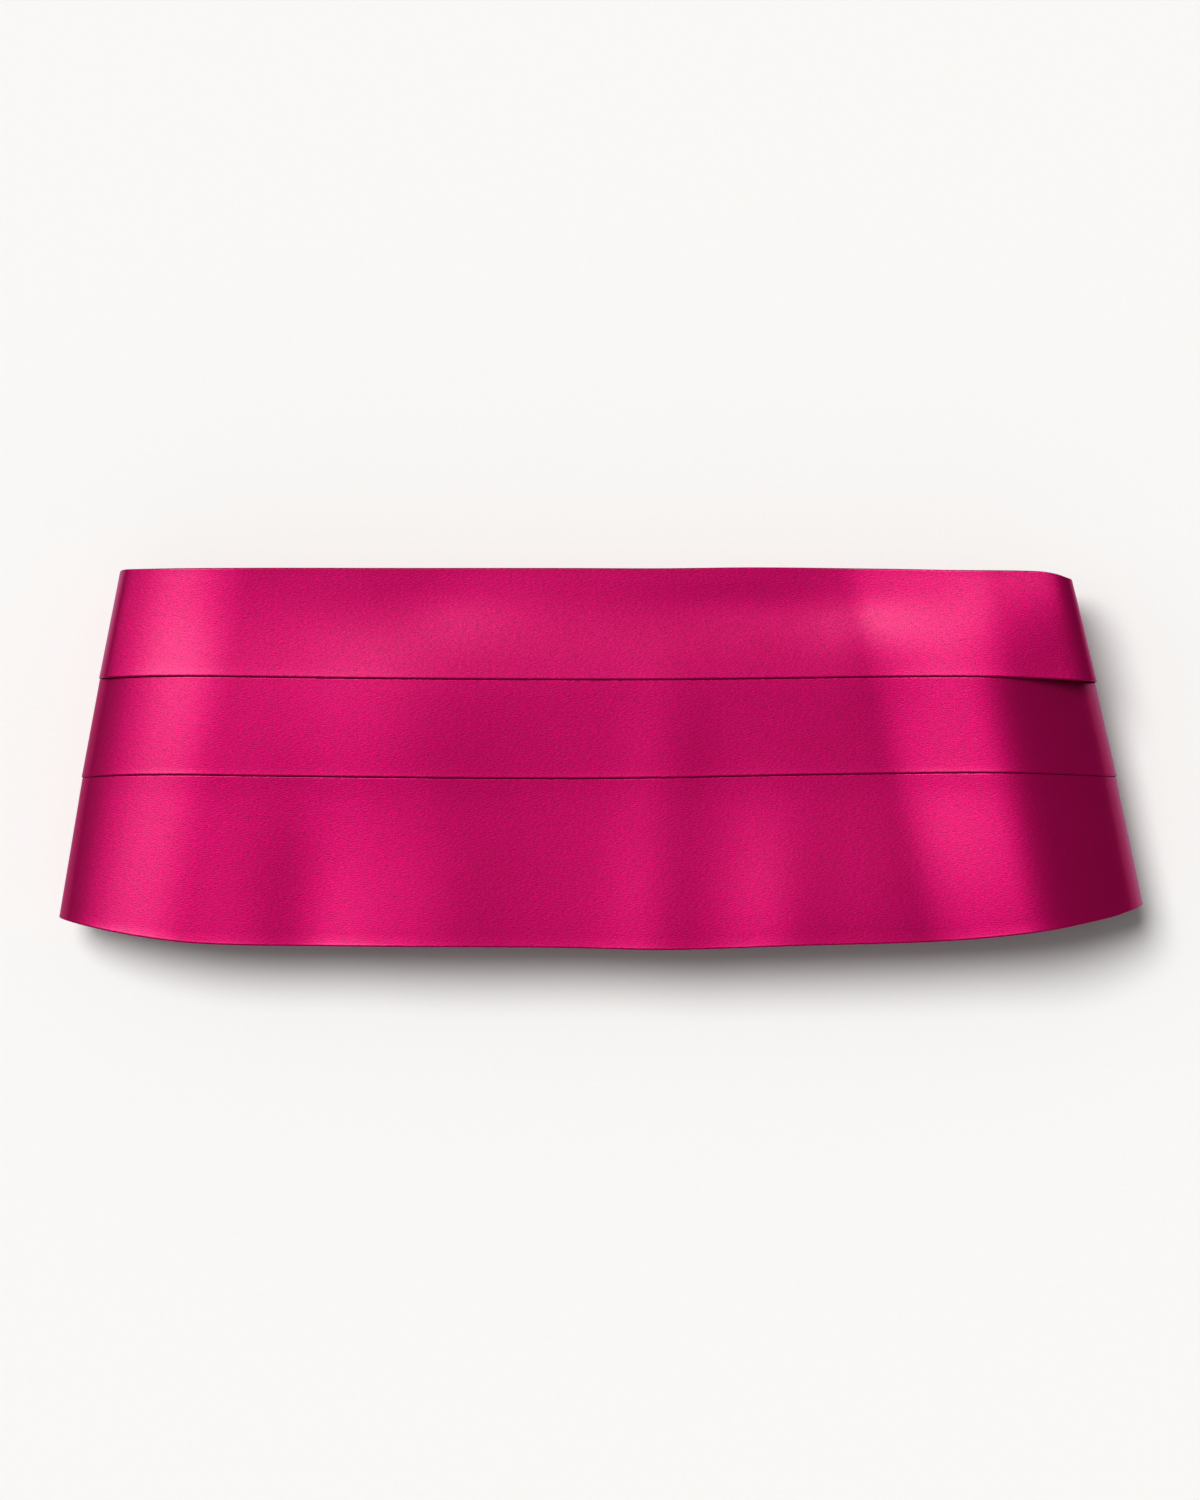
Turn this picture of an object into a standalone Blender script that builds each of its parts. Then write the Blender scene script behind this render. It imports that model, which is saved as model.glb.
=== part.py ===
"""A pleated satin cummerbund that lies on its back with both ends rolled behind it.

+X is the wearer's side to side, +Y the height of the sash and +Z up from the surface it lies on.
The cloth is drawn as it was cut, flat, with "along" measured from the middle and "up" from mid height.
Each end is then bent round a roll whose axis leans outwards towards the hem, which keeps every
length in the cloth true. A pleat is a wall whose section runs down its face, round the fold at its
lower edge and back up behind. "Proud" is the distance from the sash's inner side.
"""

import math

import bmesh
import bpy
from mathutils import Vector

MM = 0.001

# The cloth
WALL = 1.0 * MM
LAYER_GAP = 0.35 * MM
LAYER_PITCH = WALL + LAYER_GAP
INNER_LAYER = 0.5 * WALL
EDGE_LAYER = INNER_LAYER + LAYER_PITCH
OUTER_LAYER = INNER_LAYER + 2 * LAYER_PITCH
SHOULDER_LAYER = OUTER_LAYER - 0.5 * MM
STACK = OUTER_LAYER + 0.5 * WALL
FOLD_RADIUS = 0.5 * LAYER_PITCH
TURN_IN = 10.0 * MM
RETURN_DEPTH = 12.0 * MM
TUCK_DEPTH = 10.0 * MM
TUCK_TURN = math.radians(60)
SHOULDER_RADIUS = 0.9 * MM
SEAM_GAP = 0.3 * MM

# The sash as it lies
LYING_HEIGHT = 36.0 * MM
FRONT_LEVEL = LYING_HEIGHT - STACK
TAIL_LEVEL = STACK
TAIL_END = 60.0 * MM
TAIL_END_TOP = 12.0 * MM
TAIL_END_HEM = -48.0 * MM

# One row for each side: the lean of its roll, where its outer edge stands at mid height, the share
# of the front's quarter turn that is even, the power of the distance that the rest goes by, the
# height of the ridge beside the roll, and how the stiffer top pleat stands off it: the share of the
# even turn that it does not follow, and the rise of its crisper corner
SIDES = {
    "left": {
        "sign": -1,
        "lean": math.radians(10.0),
        "edge": 173.4 * MM,
        "ease": 0.24,
        "power": 12.0,
        "ridge": 0.0 * MM,
        "stiff": 0.22,
        "corner": 1.5 * MM,
    },
    "right": {
        "sign": 1,
        "lean": math.radians(12.5),
        "edge": 173.6 * MM,
        "ease": 0.30,
        "power": 20.0,
        "ridge": 6.0 * MM,
        "stiff": 1.50,
        "corner": 0.0 * MM,
    },
}
BACK_POWER = 2.0
FRONT_SHARE = 0.40
RIDGE_START = -33.0 * MM
RIDGE_RUN = 48.0 * MM
CORNER_START = math.radians(14)
CORNER_RUN = math.radians(40)
CORNER_FADE = math.radians(40)
FOLD_STIFFNESS = 0.85
STIFF_FROM = 25.0 * MM
STIFF_RUN = 30.0 * MM
ROLL_TURNS = (0, 3, 7, 12, 17, 22, 28, 36, 46, 58, 74, 90, 104, 118, 132, 146, 160, 172, 180)
ROLL_STEP = 0.1 * MM
FRONT_STATIONS = 12
TAIL_STATIONS = 7
TAB_DEPTH = 10.0 * MM
TAB_LAYER = WALL + SEAM_GAP
TAB_RAMP_START = 15.0 * MM
TAB_RAMP = 22.0 * MM
TAB_CORNER = 0.8 * MM

# The cut, in millimetres: heights of the top edge, the two pleat folds and the hem above mid
# height, at each distance along the cloth
CUT_COLUMNS = ("along", "top", "first_fold", "second_fold", "hem")
CUT_ROWS = (
    (-225.0, 62.6, 25.6, -7.6, -37.0),
    (-200.0, 62.8, 25.9, -7.4, -45.8),
    (-180.0, 63.0, 26.4, -7.0, -51.9),
    (-160.0, 63.2, 27.1, -6.0, -56.8),
    (-140.0, 63.3, 27.3, -5.7, -60.3),
    (-120.0, 63.4, 27.1, -5.9, -62.3),
    (-80.0, 63.4, 26.6, -6.4, -63.0),
    (-15.0, 63.4, 26.2, -6.9, -63.4),
    (22.0, 63.3, 26.2, -6.6, -64.1),
    (60.0, 63.6, 26.6, -5.8, -62.7),
    (105.0, 63.1, 27.1, -5.1, -61.1),
    (135.0, 62.4, 27.0, -5.0, -57.8),
    (160.0, 61.9, 25.9, -5.8, -53.1),
    (166.0, 61.0, 25.6, -6.0, -51.4),
    (170.0, 59.6, 25.4, -6.2, -50.3),
    (175.0, 58.9, 25.1, -6.5, -48.8),
    (184.0, 59.6, 24.8, -6.8, -45.9),
    (200.0, 60.2, 24.3, -7.2, -39.2),
    (225.0, 59.6, 23.9, -7.4, -27.6),
)

# The broad swells of the front: where each is highest or lowest, how far it reaches and how high
# it stands, in millimetres
SWELL_COLUMNS = ("along", "up", "reach_along", "reach_up", "height")
SWELL_ROWS = (
    (-150.0, -90.0, 45.0, 80.0, -2.0),
    (-138.0, 78.0, 38.0, 26.0, 1.6),
    (-97.0, -60.0, 15.0, 44.0, -1.2),
    (-54.0, -60.0, 22.0, 44.0, 0.8),
    (20.0, -60.0, 14.0, 44.0, 0.7),
    (62.0, -60.0, 14.0, 40.0, 0.6),
    (95.0, -60.0, 58.0, 44.0, 3.0),
    (-66.0, 8.0, 30.0, 30.0, 0.9),
    (24.0, 4.0, 12.0, 24.0, 0.3),
    (-57.0, 50.0, 14.0, 9.0, -0.5),
    (45.0, 50.0, 30.0, 9.0, -0.6),
    (94.0, 50.0, 14.0, 9.0, -0.6),
)
TOP_DROP = 1.4 * MM
TOP_MIDDLE = 10.0 * MM
TOP_REACH = 105.0 * MM
TOP_FROM = 22.0 * MM
TOP_RUN = 34.0 * MM
HEM_SLOPE = 0.05
HEM_FROM = -8.0 * MM
HEM_BEND = 8.0 * MM

# The back straps, which lie on the surface and loop round the ring's left bar and the hook's bar
STRAP_MIDDLE = 0.5 * (TAIL_END_TOP + TAIL_END_HEM)
STRAP_WIDTH = 28.0 * MM
STRAP_START = TAIL_END - 0.5 * SEAM_GAP - WALL - 0.75 * MM
STRAP_REST = 0.5 * WALL
STRAP_RISE_START = 46.0 * MM
STRAP_RISE_END = 55.0 * MM
STRAP_RISE = 3.15 * MM
STRAP_BACK = STRAP_REST + LAYER_PITCH
STRAP_STUB = 18.0 * MM

# The ring and the hook
WIRE_RADIUS = 1.0 * MM
RING_LEVEL = 2.3 * MM
RING_LEFT = -28.0 * MM
RING_RIGHT = -17.0 * MM
RING_HALF_HEIGHT = 17.0 * MM
RING_CORNER = 2.4 * MM
RING_LOOP = WIRE_RADIUS + SEAM_GAP + 0.5 * WALL
PLATE = 1.2 * MM
PLATE_LEVEL = 2.0 * MM
PLATE_LEFT = -9.0 * MM
PLATE_RIGHT = 8.0 * MM
PLATE_HALF_HEIGHT = 17.5 * MM
SLOT_LEFT = 1.0 * MM
SLOT_RIGHT = 5.5 * MM
SLOT_HALF_HEIGHT = 14.8 * MM
BAR_LOOP = PLATE_LEVEL - STRAP_REST
TONGUE_HALF_WIDTH = 7.5 * MM
TONGUE_RADIUS = WIRE_RADIUS + SEAM_GAP + 0.5 * PLATE
TONGUE_TURN = 130

CERISE = (0.640, 0.007, 0.120, 1.0)
STEEL = (0.620, 0.610, 0.600, 1.0)


def clear_scene():
    """Removes every object that the scene starts with."""
    for obj in list(bpy.data.objects):
        bpy.data.objects.remove(obj)


def make_material(name, colour, roughness, metallic=0.0):
    """A Principled material with one colour."""
    material = bpy.data.materials.new(name)
    material.use_nodes = True
    shader = material.node_tree.nodes["Principled BSDF"]
    shader.inputs["Base Color"].default_value = colour
    shader.inputs["Roughness"].default_value = roughness
    shader.inputs["Metallic"].default_value = metallic
    return material


def smooth(x):
    """Smooth step from 0 to 1."""
    x = min(1.0, max(0.0, x))
    return x * x * (3.0 - 2.0 * x)


def between(a, b, share):
    """The value or point that lies a share of the way from a to b."""
    return a + (b - a) * share


def cut_at(along):
    """Heights of the top edge, both folds and the hem at a distance along the cloth."""
    rows = [dict(zip(CUT_COLUMNS, (value * MM for value in row))) for row in CUT_ROWS]
    last = len(rows) - 2
    i = next((k for k in range(last) if along < rows[k + 1]["along"]), last)
    before, start, end, after = rows[max(i - 1, 0)], rows[i], rows[i + 1], rows[min(i + 2, last + 1)]
    run = end["along"] - start["along"]
    t = (along - start["along"]) / run
    heights = []
    for column in CUT_COLUMNS[1:]:
        slope_in = (end[column] - before[column]) / (end["along"] - before["along"]) * run
        slope_out = (after[column] - start[column]) / (after["along"] - start["along"]) * run
        heights.append(
            (2 * t**3 - 3 * t**2 + 1) * start[column]
            + (t**3 - 2 * t**2 + t) * slope_in
            + (3 * t**2 - 2 * t**3) * end[column]
            + (t**3 - t**2) * slope_out
        )
    return heights


def swell_at(along, up):
    """How far the front stands proud of its flat level."""
    total = 0.0
    for row in SWELL_ROWS:
        swell = dict(zip(SWELL_COLUMNS, (value * MM for value in row)))
        across = (along - swell["along"]) / swell["reach_along"]
        down = (up - swell["up"]) / swell["reach_up"]
        total += swell["height"] * math.exp(-across * across - down * down)
    under = max(0.0, HEM_FROM - up)
    share = math.exp(-(((along - TOP_MIDDLE) / TOP_REACH) ** 2))
    total -= TOP_DROP * share * smooth((up - TOP_FROM) / TOP_RUN)
    return total + HEM_SLOPE * under * under / (under + HEM_BEND)


class Roll:
    """One rolled end: the cloth turns half a turn about an axis that leans outwards to the hem."""

    def __init__(self, sign, lean, edge, ease, power, ridge, stiff, corner):
        self.sign = sign
        self.lean = lean
        self.ease = ease
        self.power = power
        self.ridge = ridge
        self.stiff = stiff
        self.corner = corner
        self.outward = Vector((sign * math.cos(lean), math.sin(lean), 0.0))
        self.axis = Vector((sign * math.sin(lean), -math.cos(lean), 0.0))
        drop = FRONT_LEVEL - TAIL_LEVEL
        self.front_length = FRONT_SHARE * drop / self.drop_of(ease, power)
        self.back_length = (1 - FRONT_SHARE) * drop / self.drop_of(0.0, BACK_POWER)
        self.length = self.front_length + self.back_length
        self.reach, self.fall = self.walk()
        self.start = edge - (self.look_up(self.reach, self.front_length) + STACK) / math.cos(lean)
        self.tail_reach = self.reach[-1]

    @staticmethod
    def quarter(share, ease, power):
        """Angle turned at a share of a quarter turn, evenly at first and then by a power of the share."""
        return 0.5 * math.pi * (ease * share + (1 - ease) * share**power)

    def drop_of(self, ease, power):
        """Fall of a quarter turn one unit long."""
        steps = 400
        return sum(math.sin(self.quarter((k + 0.5) / steps, ease, power)) for k in range(steps)) / steps

    def turn(self, distance):
        """Angle that the cloth has turned at a distance round the roll."""
        if distance <= 0.0:
            return 0.0
        if distance <= self.front_length:
            return self.quarter(distance / self.front_length, self.ease, self.power)
        left = max(0.0, (self.length - distance) / self.back_length)
        return math.pi - self.quarter(left, 0.0, BACK_POWER)

    def distance(self, turn):
        """Distance round the roll at which the cloth has turned by an angle, by halving."""
        low, high = 0.0, self.length
        for _ in range(40):
            middle = 0.5 * (low + high)
            low, high = (middle, high) if self.turn(middle) < turn else (low, middle)
        return 0.5 * (low + high)

    def walk(self):
        """Running reach outwards and fall downwards round the roll, one entry a step."""
        steps = math.ceil(self.length / ROLL_STEP)
        reach, fall = [0.0], [0.0]
        for k in range(steps):
            turn = self.turn((k + 0.5) / steps * self.length)
            reach.append(reach[-1] + math.cos(turn) * self.length / steps)
            fall.append(fall[-1] + math.sin(turn) * self.length / steps)
        return reach, fall

    def look_up(self, table, distance):
        """A value of the walk at a distance round the roll."""
        place = min(1.0, distance / self.length) * (len(table) - 1)
        k = min(int(place), len(table) - 2)
        return between(table[k], table[k + 1], place - k)

    def past_start(self, along, up):
        """Distance of a point of the flat cloth past the line where the roll starts."""
        return (self.sign * along - self.start) * math.cos(self.lean) + up * math.sin(self.lean)

    def place(self, along, up, proud):
        """Where a point of the flat cloth lies once bent, proud of the inner side by some distance."""
        past = self.past_start(along, up)
        down = (self.sign * along - self.start) * math.sin(self.lean) - up * math.cos(self.lean)
        turn = self.turn(past)
        reach = self.look_up(self.reach, past) - max(0.0, past - self.length)
        point = Vector((self.sign * self.start, 0.0, FRONT_LEVEL - self.look_up(self.fall, past)))
        point += self.axis * down + self.outward * reach
        if past > self.length:
            left_over = self.sign * point.x - TAIL_END - TAB_RAMP_START
            point.z += TAB_LAYER * smooth(1.0 - left_over / TAB_RAMP)
        facing = self.outward * math.sin(turn) + Vector((0.0, 0.0, math.cos(turn)))
        return point + facing * proud

    def rise(self, past):
        """Height of the soft ridge that runs beside the roll."""
        return self.ridge * smooth((past - RIDGE_START) / RIDGE_RUN)

    def stand_off(self, past, up):
        """How far the top pleat stands above the bend of the rest, less at its fold."""
        turn = self.turn(past)
        share = between(FOLD_STIFFNESS, 1.0, smooth((up - STIFF_FROM) / STIFF_RUN))
        even_fall = 0.25 * math.pi * self.ease * max(0.0, past) ** 2 / self.front_length
        corner = self.corner * smooth((turn - CORNER_START) / CORNER_RUN)
        return share * (self.stiff * even_fall + corner) * (1.0 - smooth(turn / CORNER_FADE - 1.0))

    def unroll(self, x, y):
        """The point of the flat cloth that lies at x, y under the sash."""
        offset = Vector((x - self.sign * self.start, y, 0.0))
        down = offset.dot(self.axis)
        past = self.length + self.tail_reach - offset.dot(self.outward)
        out = past * math.cos(self.lean) + down * math.sin(self.lean)
        up = past * math.sin(self.lean) - down * math.cos(self.lean)
        return self.sign * (self.start + out), up


def place(along, up, proud, stiffness):
    """Where a point of the flat cloth lies, with the front's swells and a stiffer pleat's stand-off."""
    roll = ROLLS["right" if along > 0 else "left"]
    past = roll.past_start(along, up)
    if past > 0:
        point = roll.place(along, up, proud)
        level = max(0.0, math.cos(roll.turn(past)))
    else:
        point = Vector((along, up, FRONT_LEVEL + proud))
        level = 1.0
    point.z += (swell_at(along, up) + roll.rise(past)) * level * level + stiffness * roll.stand_off(past, up)
    return point


class Station:
    """A line across the flat cloth, from its top edge to its hem, with the section's heights on it."""

    def __init__(self, top, hem, folds, tail):
        self.top = top
        self.hem = hem
        self.folds = folds
        self.tail = tail

    @property
    def depth(self):
        """Distance from the top edge to the hem."""
        return (self.hem - self.top).length

    def point(self, down, proud, stiffness=0.0):
        """A point of the section: down from the top edge, and proud of the cloth's inner side."""
        flat = self.top + (self.hem - self.top) * (down / self.depth)
        return place(flat.x, flat.y, proud, stiffness)


def level_station(middle, sign, slant, tail):
    """A station at a distance along the cloth, on a line that leans with the roll."""
    along = sign * middle
    top, first, second, hem = cut_at(along)
    spread = math.tan(slant) * sign
    at_top = Vector((along - spread * top, top))
    at_hem = Vector((along - spread * hem, hem))
    scale = 1.0 / math.cos(slant)
    return Station(at_top, at_hem, [(top - first) * scale, (top - second) * scale], tail)


def side_stations(roll):
    """Stations from beside the middle of the front, round one roll, to the end of the tail."""
    stations = []
    for k in range(1, FRONT_STATIONS):
        share = k / FRONT_STATIONS
        stations.append(level_station(roll.start * share, roll.sign, roll.lean * share, 0.0))
    for turn in ROLL_TURNS:
        past = roll.distance(math.radians(turn))
        middle = roll.start + past / math.cos(roll.lean)
        stations.append(level_station(middle, roll.sign, roll.lean, smooth(turn / 180.0)))
    last = stations[-1]
    end_top = Vector(roll.unroll(roll.sign * TAIL_END, TAIL_END_TOP))
    end_hem = Vector(roll.unroll(roll.sign * TAIL_END, TAIL_END_HEM))
    end_depth = (end_hem - end_top).length
    for k in range(1, TAIL_STATIONS + 1):
        share = k / TAIL_STATIONS
        top, hem = between(last.top, end_top, share), between(last.hem, end_hem, share)
        folds = [between(last.folds[i], end_depth * (i + 1) / 3, smooth(share)) for i in (0, 1)]
        stations.append(Station(top, hem, folds, 1.0))
    return stations


def all_stations():
    """Stations from the left tail's end to the right tail's end."""
    middle = level_station(0.0, 1, 0.0, 0.0)
    return side_stations(ROLLS["left"])[::-1] + [middle] + side_stations(ROLLS["right"])


def fold_round(edge, proud, towards):
    """Half a turn of cloth at a pleat's edge, from its face at some layer to the layer behind."""
    down = edge - towards * FOLD_RADIUS
    turns = [math.radians(a) for a in (0, 60, 120, 180)]
    return [
        (down + towards * FOLD_RADIUS * math.sin(a), proud - FOLD_RADIUS * (1 - math.cos(a)))
        for a in turns
    ]


def top_pleat(station):
    """Turned-in top edge, face, fold and return."""
    fold = station.folds[0]
    edge_layer = between(EDGE_LAYER, OUTER_LAYER, station.tail)
    start, end = FOLD_RADIUS, fold - FOLD_RADIUS
    line = [(TURN_IN, edge_layer - LAYER_PITCH)]
    line += fold_round(0.0, edge_layer, -1)[::-1]
    line += [(between(start, end, s), between(edge_layer, OUTER_LAYER, smooth(s))) for s in (0.12, 0.3, 0.55, 0.8)]
    line += fold_round(fold, OUTER_LAYER, 1)
    line += [(fold - RETURN_DEPTH, OUTER_LAYER - LAYER_PITCH)]
    return line


def lower_pleat(station, upper_fold, edge, face_layer, return_depth):
    """A pleat tucked behind the one above: round its fold, over a shoulder, down its face to its edge."""
    shoulder = between(SHOULDER_LAYER, OUTER_LAYER, station.tail)
    centre = upper_fold - FOLD_RADIUS
    radius = FOLD_RADIUS + LAYER_PITCH
    line = [(upper_fold - TUCK_DEPTH, INNER_LAYER)]
    for turn in (0.0, 0.5 * TUCK_TURN, TUCK_TURN):
        line.append((centre + radius * math.sin(turn), INNER_LAYER + radius * (1 - math.cos(turn))))
    rise = SHOULDER_RADIUS * (1 - math.cos(TUCK_TURN))
    down = line[-1][0] + (shoulder - rise - line[-1][1]) / math.tan(TUCK_TURN)
    for turn in (TUCK_TURN, 0.5 * TUCK_TURN, 0.0):
        ahead = SHOULDER_RADIUS * (math.sin(TUCK_TURN) - math.sin(turn))
        line.append((down + ahead, shoulder - SHOULDER_RADIUS * (1 - math.cos(turn))))
    start, end = line[-1][0], edge - FOLD_RADIUS
    line += [(between(start, end, s), between(shoulder, face_layer, smooth(s))) for s in (0.25, 0.5, 0.75)]
    line += fold_round(edge, face_layer, 1)
    line += [(edge - return_depth, face_layer - LAYER_PITCH)]
    return line


def middle_pleat(station):
    """The pleat between the two folds."""
    return lower_pleat(station, station.folds[0], station.folds[1], OUTER_LAYER, RETURN_DEPTH)


def bottom_pleat(station):
    """The pleat below the second fold, with its turned hem."""
    hem_layer = between(EDGE_LAYER, OUTER_LAYER, station.tail)
    return lower_pleat(station, station.folds[1], station.depth, hem_layer, TURN_IN)


def add_object(name, bm, material):
    """A named object from a bmesh."""
    mesh = bpy.data.meshes.new(name)
    bm.to_mesh(mesh)
    bm.free()
    mesh.materials.append(material)
    mesh.shade_smooth()
    obj = bpy.data.objects.new(name, mesh)
    sash.objects.link(obj)
    return obj


def add_wall(name, bm, thickness, material):
    """A wall of even thickness about the surface in a bmesh."""
    obj = add_object(name, bm, material)
    solidify = obj.modifiers.new("wall", "SOLIDIFY")
    solidify.thickness = thickness
    solidify.offset = 0.0
    solidify.use_even_offset = True
    solidify.use_quality_normals = True
    return obj


def surface(lines):
    """A grid surface through rows of points."""
    rows, columns = len(lines), len(lines[0])
    bm = bmesh.new()
    bmesh.ops.create_grid(bm, x_segments=columns - 1, y_segments=rows - 1, size=1.0)
    half_rows, half_columns = 0.5 * (rows - 1), 0.5 * (columns - 1)
    for vert in bm.verts:
        row, column = round((vert.co.y + 1) * half_rows), round((vert.co.x + 1) * half_columns)
        vert.co = lines[row][column]
    return bm


def build_pleats(satin):
    """The three pleats, each a wall round the whole sash."""
    stations = all_stations()
    pleats = (
        ("pleat_top", top_pleat, 1.0),
        ("pleat_middle", middle_pleat, 0.0),
        ("pleat_bottom", bottom_pleat, 0.0),
    )
    for name, section, stiffness in pleats:
        lines = [[station.point(*spot, stiffness) for spot in section(station)] for station in stations]
        add_wall(name, surface(lines), WALL, satin)


def arc(centre_x, centre_z, radius, start, end, steps):
    """Points on a round turn in the X-Z plane; angles are degrees from +X towards +Z."""
    turns = [math.radians(between(start, end, k / steps)) for k in range(steps + 1)]
    return [(centre_x + radius * math.cos(a), centre_z + radius * math.sin(a)) for a in turns]


def ribbon(path, lows, highs, columns):
    """A surface that follows a path of x and z, between a low and a high y at each point."""
    lines = []
    for (x, z), low, high in zip(path, lows, highs):
        lines.append([Vector((x, between(low, high, k / columns), z)) for k in range(columns + 1)])
    return surface(lines)


def build_end_tab(name, roll, satin):
    """A tab folded over one end of the panel, as deep as the panel is there."""
    low, high = 0.5 * WALL, TAIL_LEVEL + TAB_LAYER + SEAM_GAP + 0.5 * WALL
    end = TAIL_END - SEAM_GAP - 0.5 * WALL
    corner = end + TAB_CORNER
    path = [(TAIL_END + TAB_DEPTH, low)]
    path += arc(corner, low + TAB_CORNER, TAB_CORNER, 270, 180, 3)
    path += arc(corner, high - TAB_CORNER, TAB_CORNER, 180, 90, 3)
    path += [(TAIL_END + TAB_DEPTH, high)]
    stations = side_stations(roll)[-2:]
    (x0, y0), (x1, y1) = ((abs(p.x), p.y) for p in (s.point(0.0, 0.0) for s in stations))
    top_slope = (y0 - y1) / (x0 - x1)
    (x0, y0), (x1, y1) = ((abs(p.x), p.y) for p in (s.point(s.depth, 0.0) for s in stations))
    hem_slope = (y0 - y1) / (x0 - x1)
    past = [x - TAIL_END for x, z in path]
    lows = [TAIL_END_HEM - 2 * SEAM_GAP + hem_slope * max(0.0, p) for p in past]
    highs = [TAIL_END_TOP + 2 * SEAM_GAP + top_slope * max(0.0, p) for p in past]
    path = [(roll.sign * x, z) for x, z in path]
    add_wall(name, ribbon(path, lows, highs, 4), WALL, satin)


def strap_rise(sign):
    """A strap's run from the middle of the end tab down to the surface."""
    steps = 5
    shares = [k / steps for k in range(steps + 1)]
    rise = [(between(STRAP_RISE_END, STRAP_RISE_START, s), between(STRAP_RISE, STRAP_REST, smooth(s))) for s in shares]
    return [(sign * x, z) for x, z in [(STRAP_START, STRAP_RISE)] + rise]


def strap_return(x, z, sign):
    """A strap's way back over itself from the top of its loop to its sewn end."""
    return [
        (x + sign * 3.0 * MM, z),
        (x + sign * 5.0 * MM, z - 0.3 * (z - STRAP_BACK)),
        (x + sign * 8.0 * MM, z - 0.8 * (z - STRAP_BACK)),
        (x + sign * 10.0 * MM, STRAP_BACK),
        (x + sign * STRAP_STUB, STRAP_BACK),
    ]


def build_strap(name, sign, loop_x, loop_z, radius, satin):
    """A strap from one end tab, round a bar and back over itself."""
    start, end = (270, 450) if sign < 0 else (270, 90)
    path = strap_rise(sign) + arc(loop_x, loop_z, radius, start, end, 8)
    path += strap_return(path[-1][0], path[-1][1], sign)
    low, high = STRAP_MIDDLE - 0.5 * STRAP_WIDTH, STRAP_MIDDLE + 0.5 * STRAP_WIDTH
    add_wall(name, ribbon(path, [low] * len(path), [high] * len(path), 2), WALL, satin)


def build_ring(steel):
    """A wire ring with rounded corners."""
    corners = (
        (RING_RIGHT, STRAP_MIDDLE + RING_HALF_HEIGHT, 0),
        (RING_LEFT, STRAP_MIDDLE + RING_HALF_HEIGHT, 90),
        (RING_LEFT, STRAP_MIDDLE - RING_HALF_HEIGHT, 180),
        (RING_RIGHT, STRAP_MIDDLE - RING_HALF_HEIGHT, 270),
    )
    middle = Vector((0.5 * (RING_LEFT + RING_RIGHT), STRAP_MIDDLE, 0.0))
    path = []
    for x, y, start in corners:
        centre = Vector((x - math.copysign(RING_CORNER, x - middle.x), y - math.copysign(RING_CORNER, y - middle.y), 0.0))
        for step in range(6):
            a = math.radians(start + 18 * step)
            out = Vector((math.cos(a), math.sin(a), 0.0))
            path.append((centre + out * RING_CORNER, out))
    sides = 12
    bm = bmesh.new()
    rings = []
    for point, out in path:
        turns = [2 * math.pi * k / sides for k in range(sides)]
        level = Vector((0.0, 0.0, RING_LEVEL))
        up = Vector((0.0, 0.0, WIRE_RADIUS))
        rings.append([bm.verts.new(point + level + out * WIRE_RADIUS * math.cos(a) + up * math.sin(a)) for a in turns])
    for i, ring in enumerate(rings):
        after = rings[(i + 1) % len(rings)]
        for k in range(sides):
            bm.faces.new((ring[k], after[k], after[(k + 1) % sides], ring[(k + 1) % sides]))
    bmesh.ops.recalc_face_normals(bm, faces=bm.faces)
    add_object("strap_eye", bm, steel)


def build_hook(steel):
    """A slotted plate whose tongue turns down round the ring's right bar."""
    tongue = [(PLATE_LEFT, PLATE_LEVEL), (-11.0 * MM, 2.6 * MM), (-13.5 * MM, 3.7 * MM), (-15.4 * MM, 4.15 * MM)]
    tongue += arc(RING_RIGHT, RING_LEVEL, TONGUE_RADIUS, 90, 90 + TONGUE_TURN, 7)
    ys = [-PLATE_HALF_HEIGHT, -SLOT_HALF_HEIGHT, -TONGUE_HALF_WIDTH, TONGUE_HALF_WIDTH, SLOT_HALF_HEIGHT, PLATE_HALF_HEIGHT]
    xs = [PLATE_LEFT, SLOT_LEFT, SLOT_RIGHT, PLATE_RIGHT]
    bm = bmesh.new()
    grid = [[bm.verts.new((x, STRAP_MIDDLE + y, PLATE_LEVEL)) for y in ys] for x in xs]
    for i in range(3):
        for j in range(5):
            if i == 1 and 1 <= j <= 3:
                continue
            bm.faces.new((grid[i][j], grid[i + 1][j], grid[i + 1][j + 1], grid[i][j + 1]))
    row = [grid[0][2], grid[0][3]]
    for x, z in tongue[1:]:
        after = [bm.verts.new((x, STRAP_MIDDLE + ys[j], z)) for j in (2, 3)]
        bm.faces.new((row[0], row[1], after[1], after[0]))
        row = after
    bmesh.ops.recalc_face_normals(bm, faces=bm.faces)
    corners = [grid[0][0], grid[0][5], grid[3][0], grid[3][5], row[0], row[1]]
    bmesh.ops.bevel(bm, geom=corners, offset=2.0 * MM, segments=4, profile=0.5, affect="VERTICES")
    add_wall("strap_hook", bm, PLATE, steel)


def stand_on_origin():
    """Moves every piece so that the whole stands over the origin by the middle of its underside."""
    bpy.context.view_layer.update()
    graph = bpy.context.evaluated_depsgraph_get()
    corners = [Vector(c) for obj in sash.objects for c in obj.evaluated_get(graph).bound_box]
    low = Vector([min(c[i] for c in corners) for i in range(3)])
    high = Vector([max(c[i] for c in corners) for i in range(3)])
    shift = Vector((-0.5 * (low.x + high.x), -0.5 * (low.y + high.y), -low.z))
    for obj in sash.objects:
        for vert in obj.data.vertices:
            vert.co += shift


ROLLS = {name: Roll(**side) for name, side in SIDES.items()}
sash = bpy.data.collections.new("cummerbund")


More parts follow.
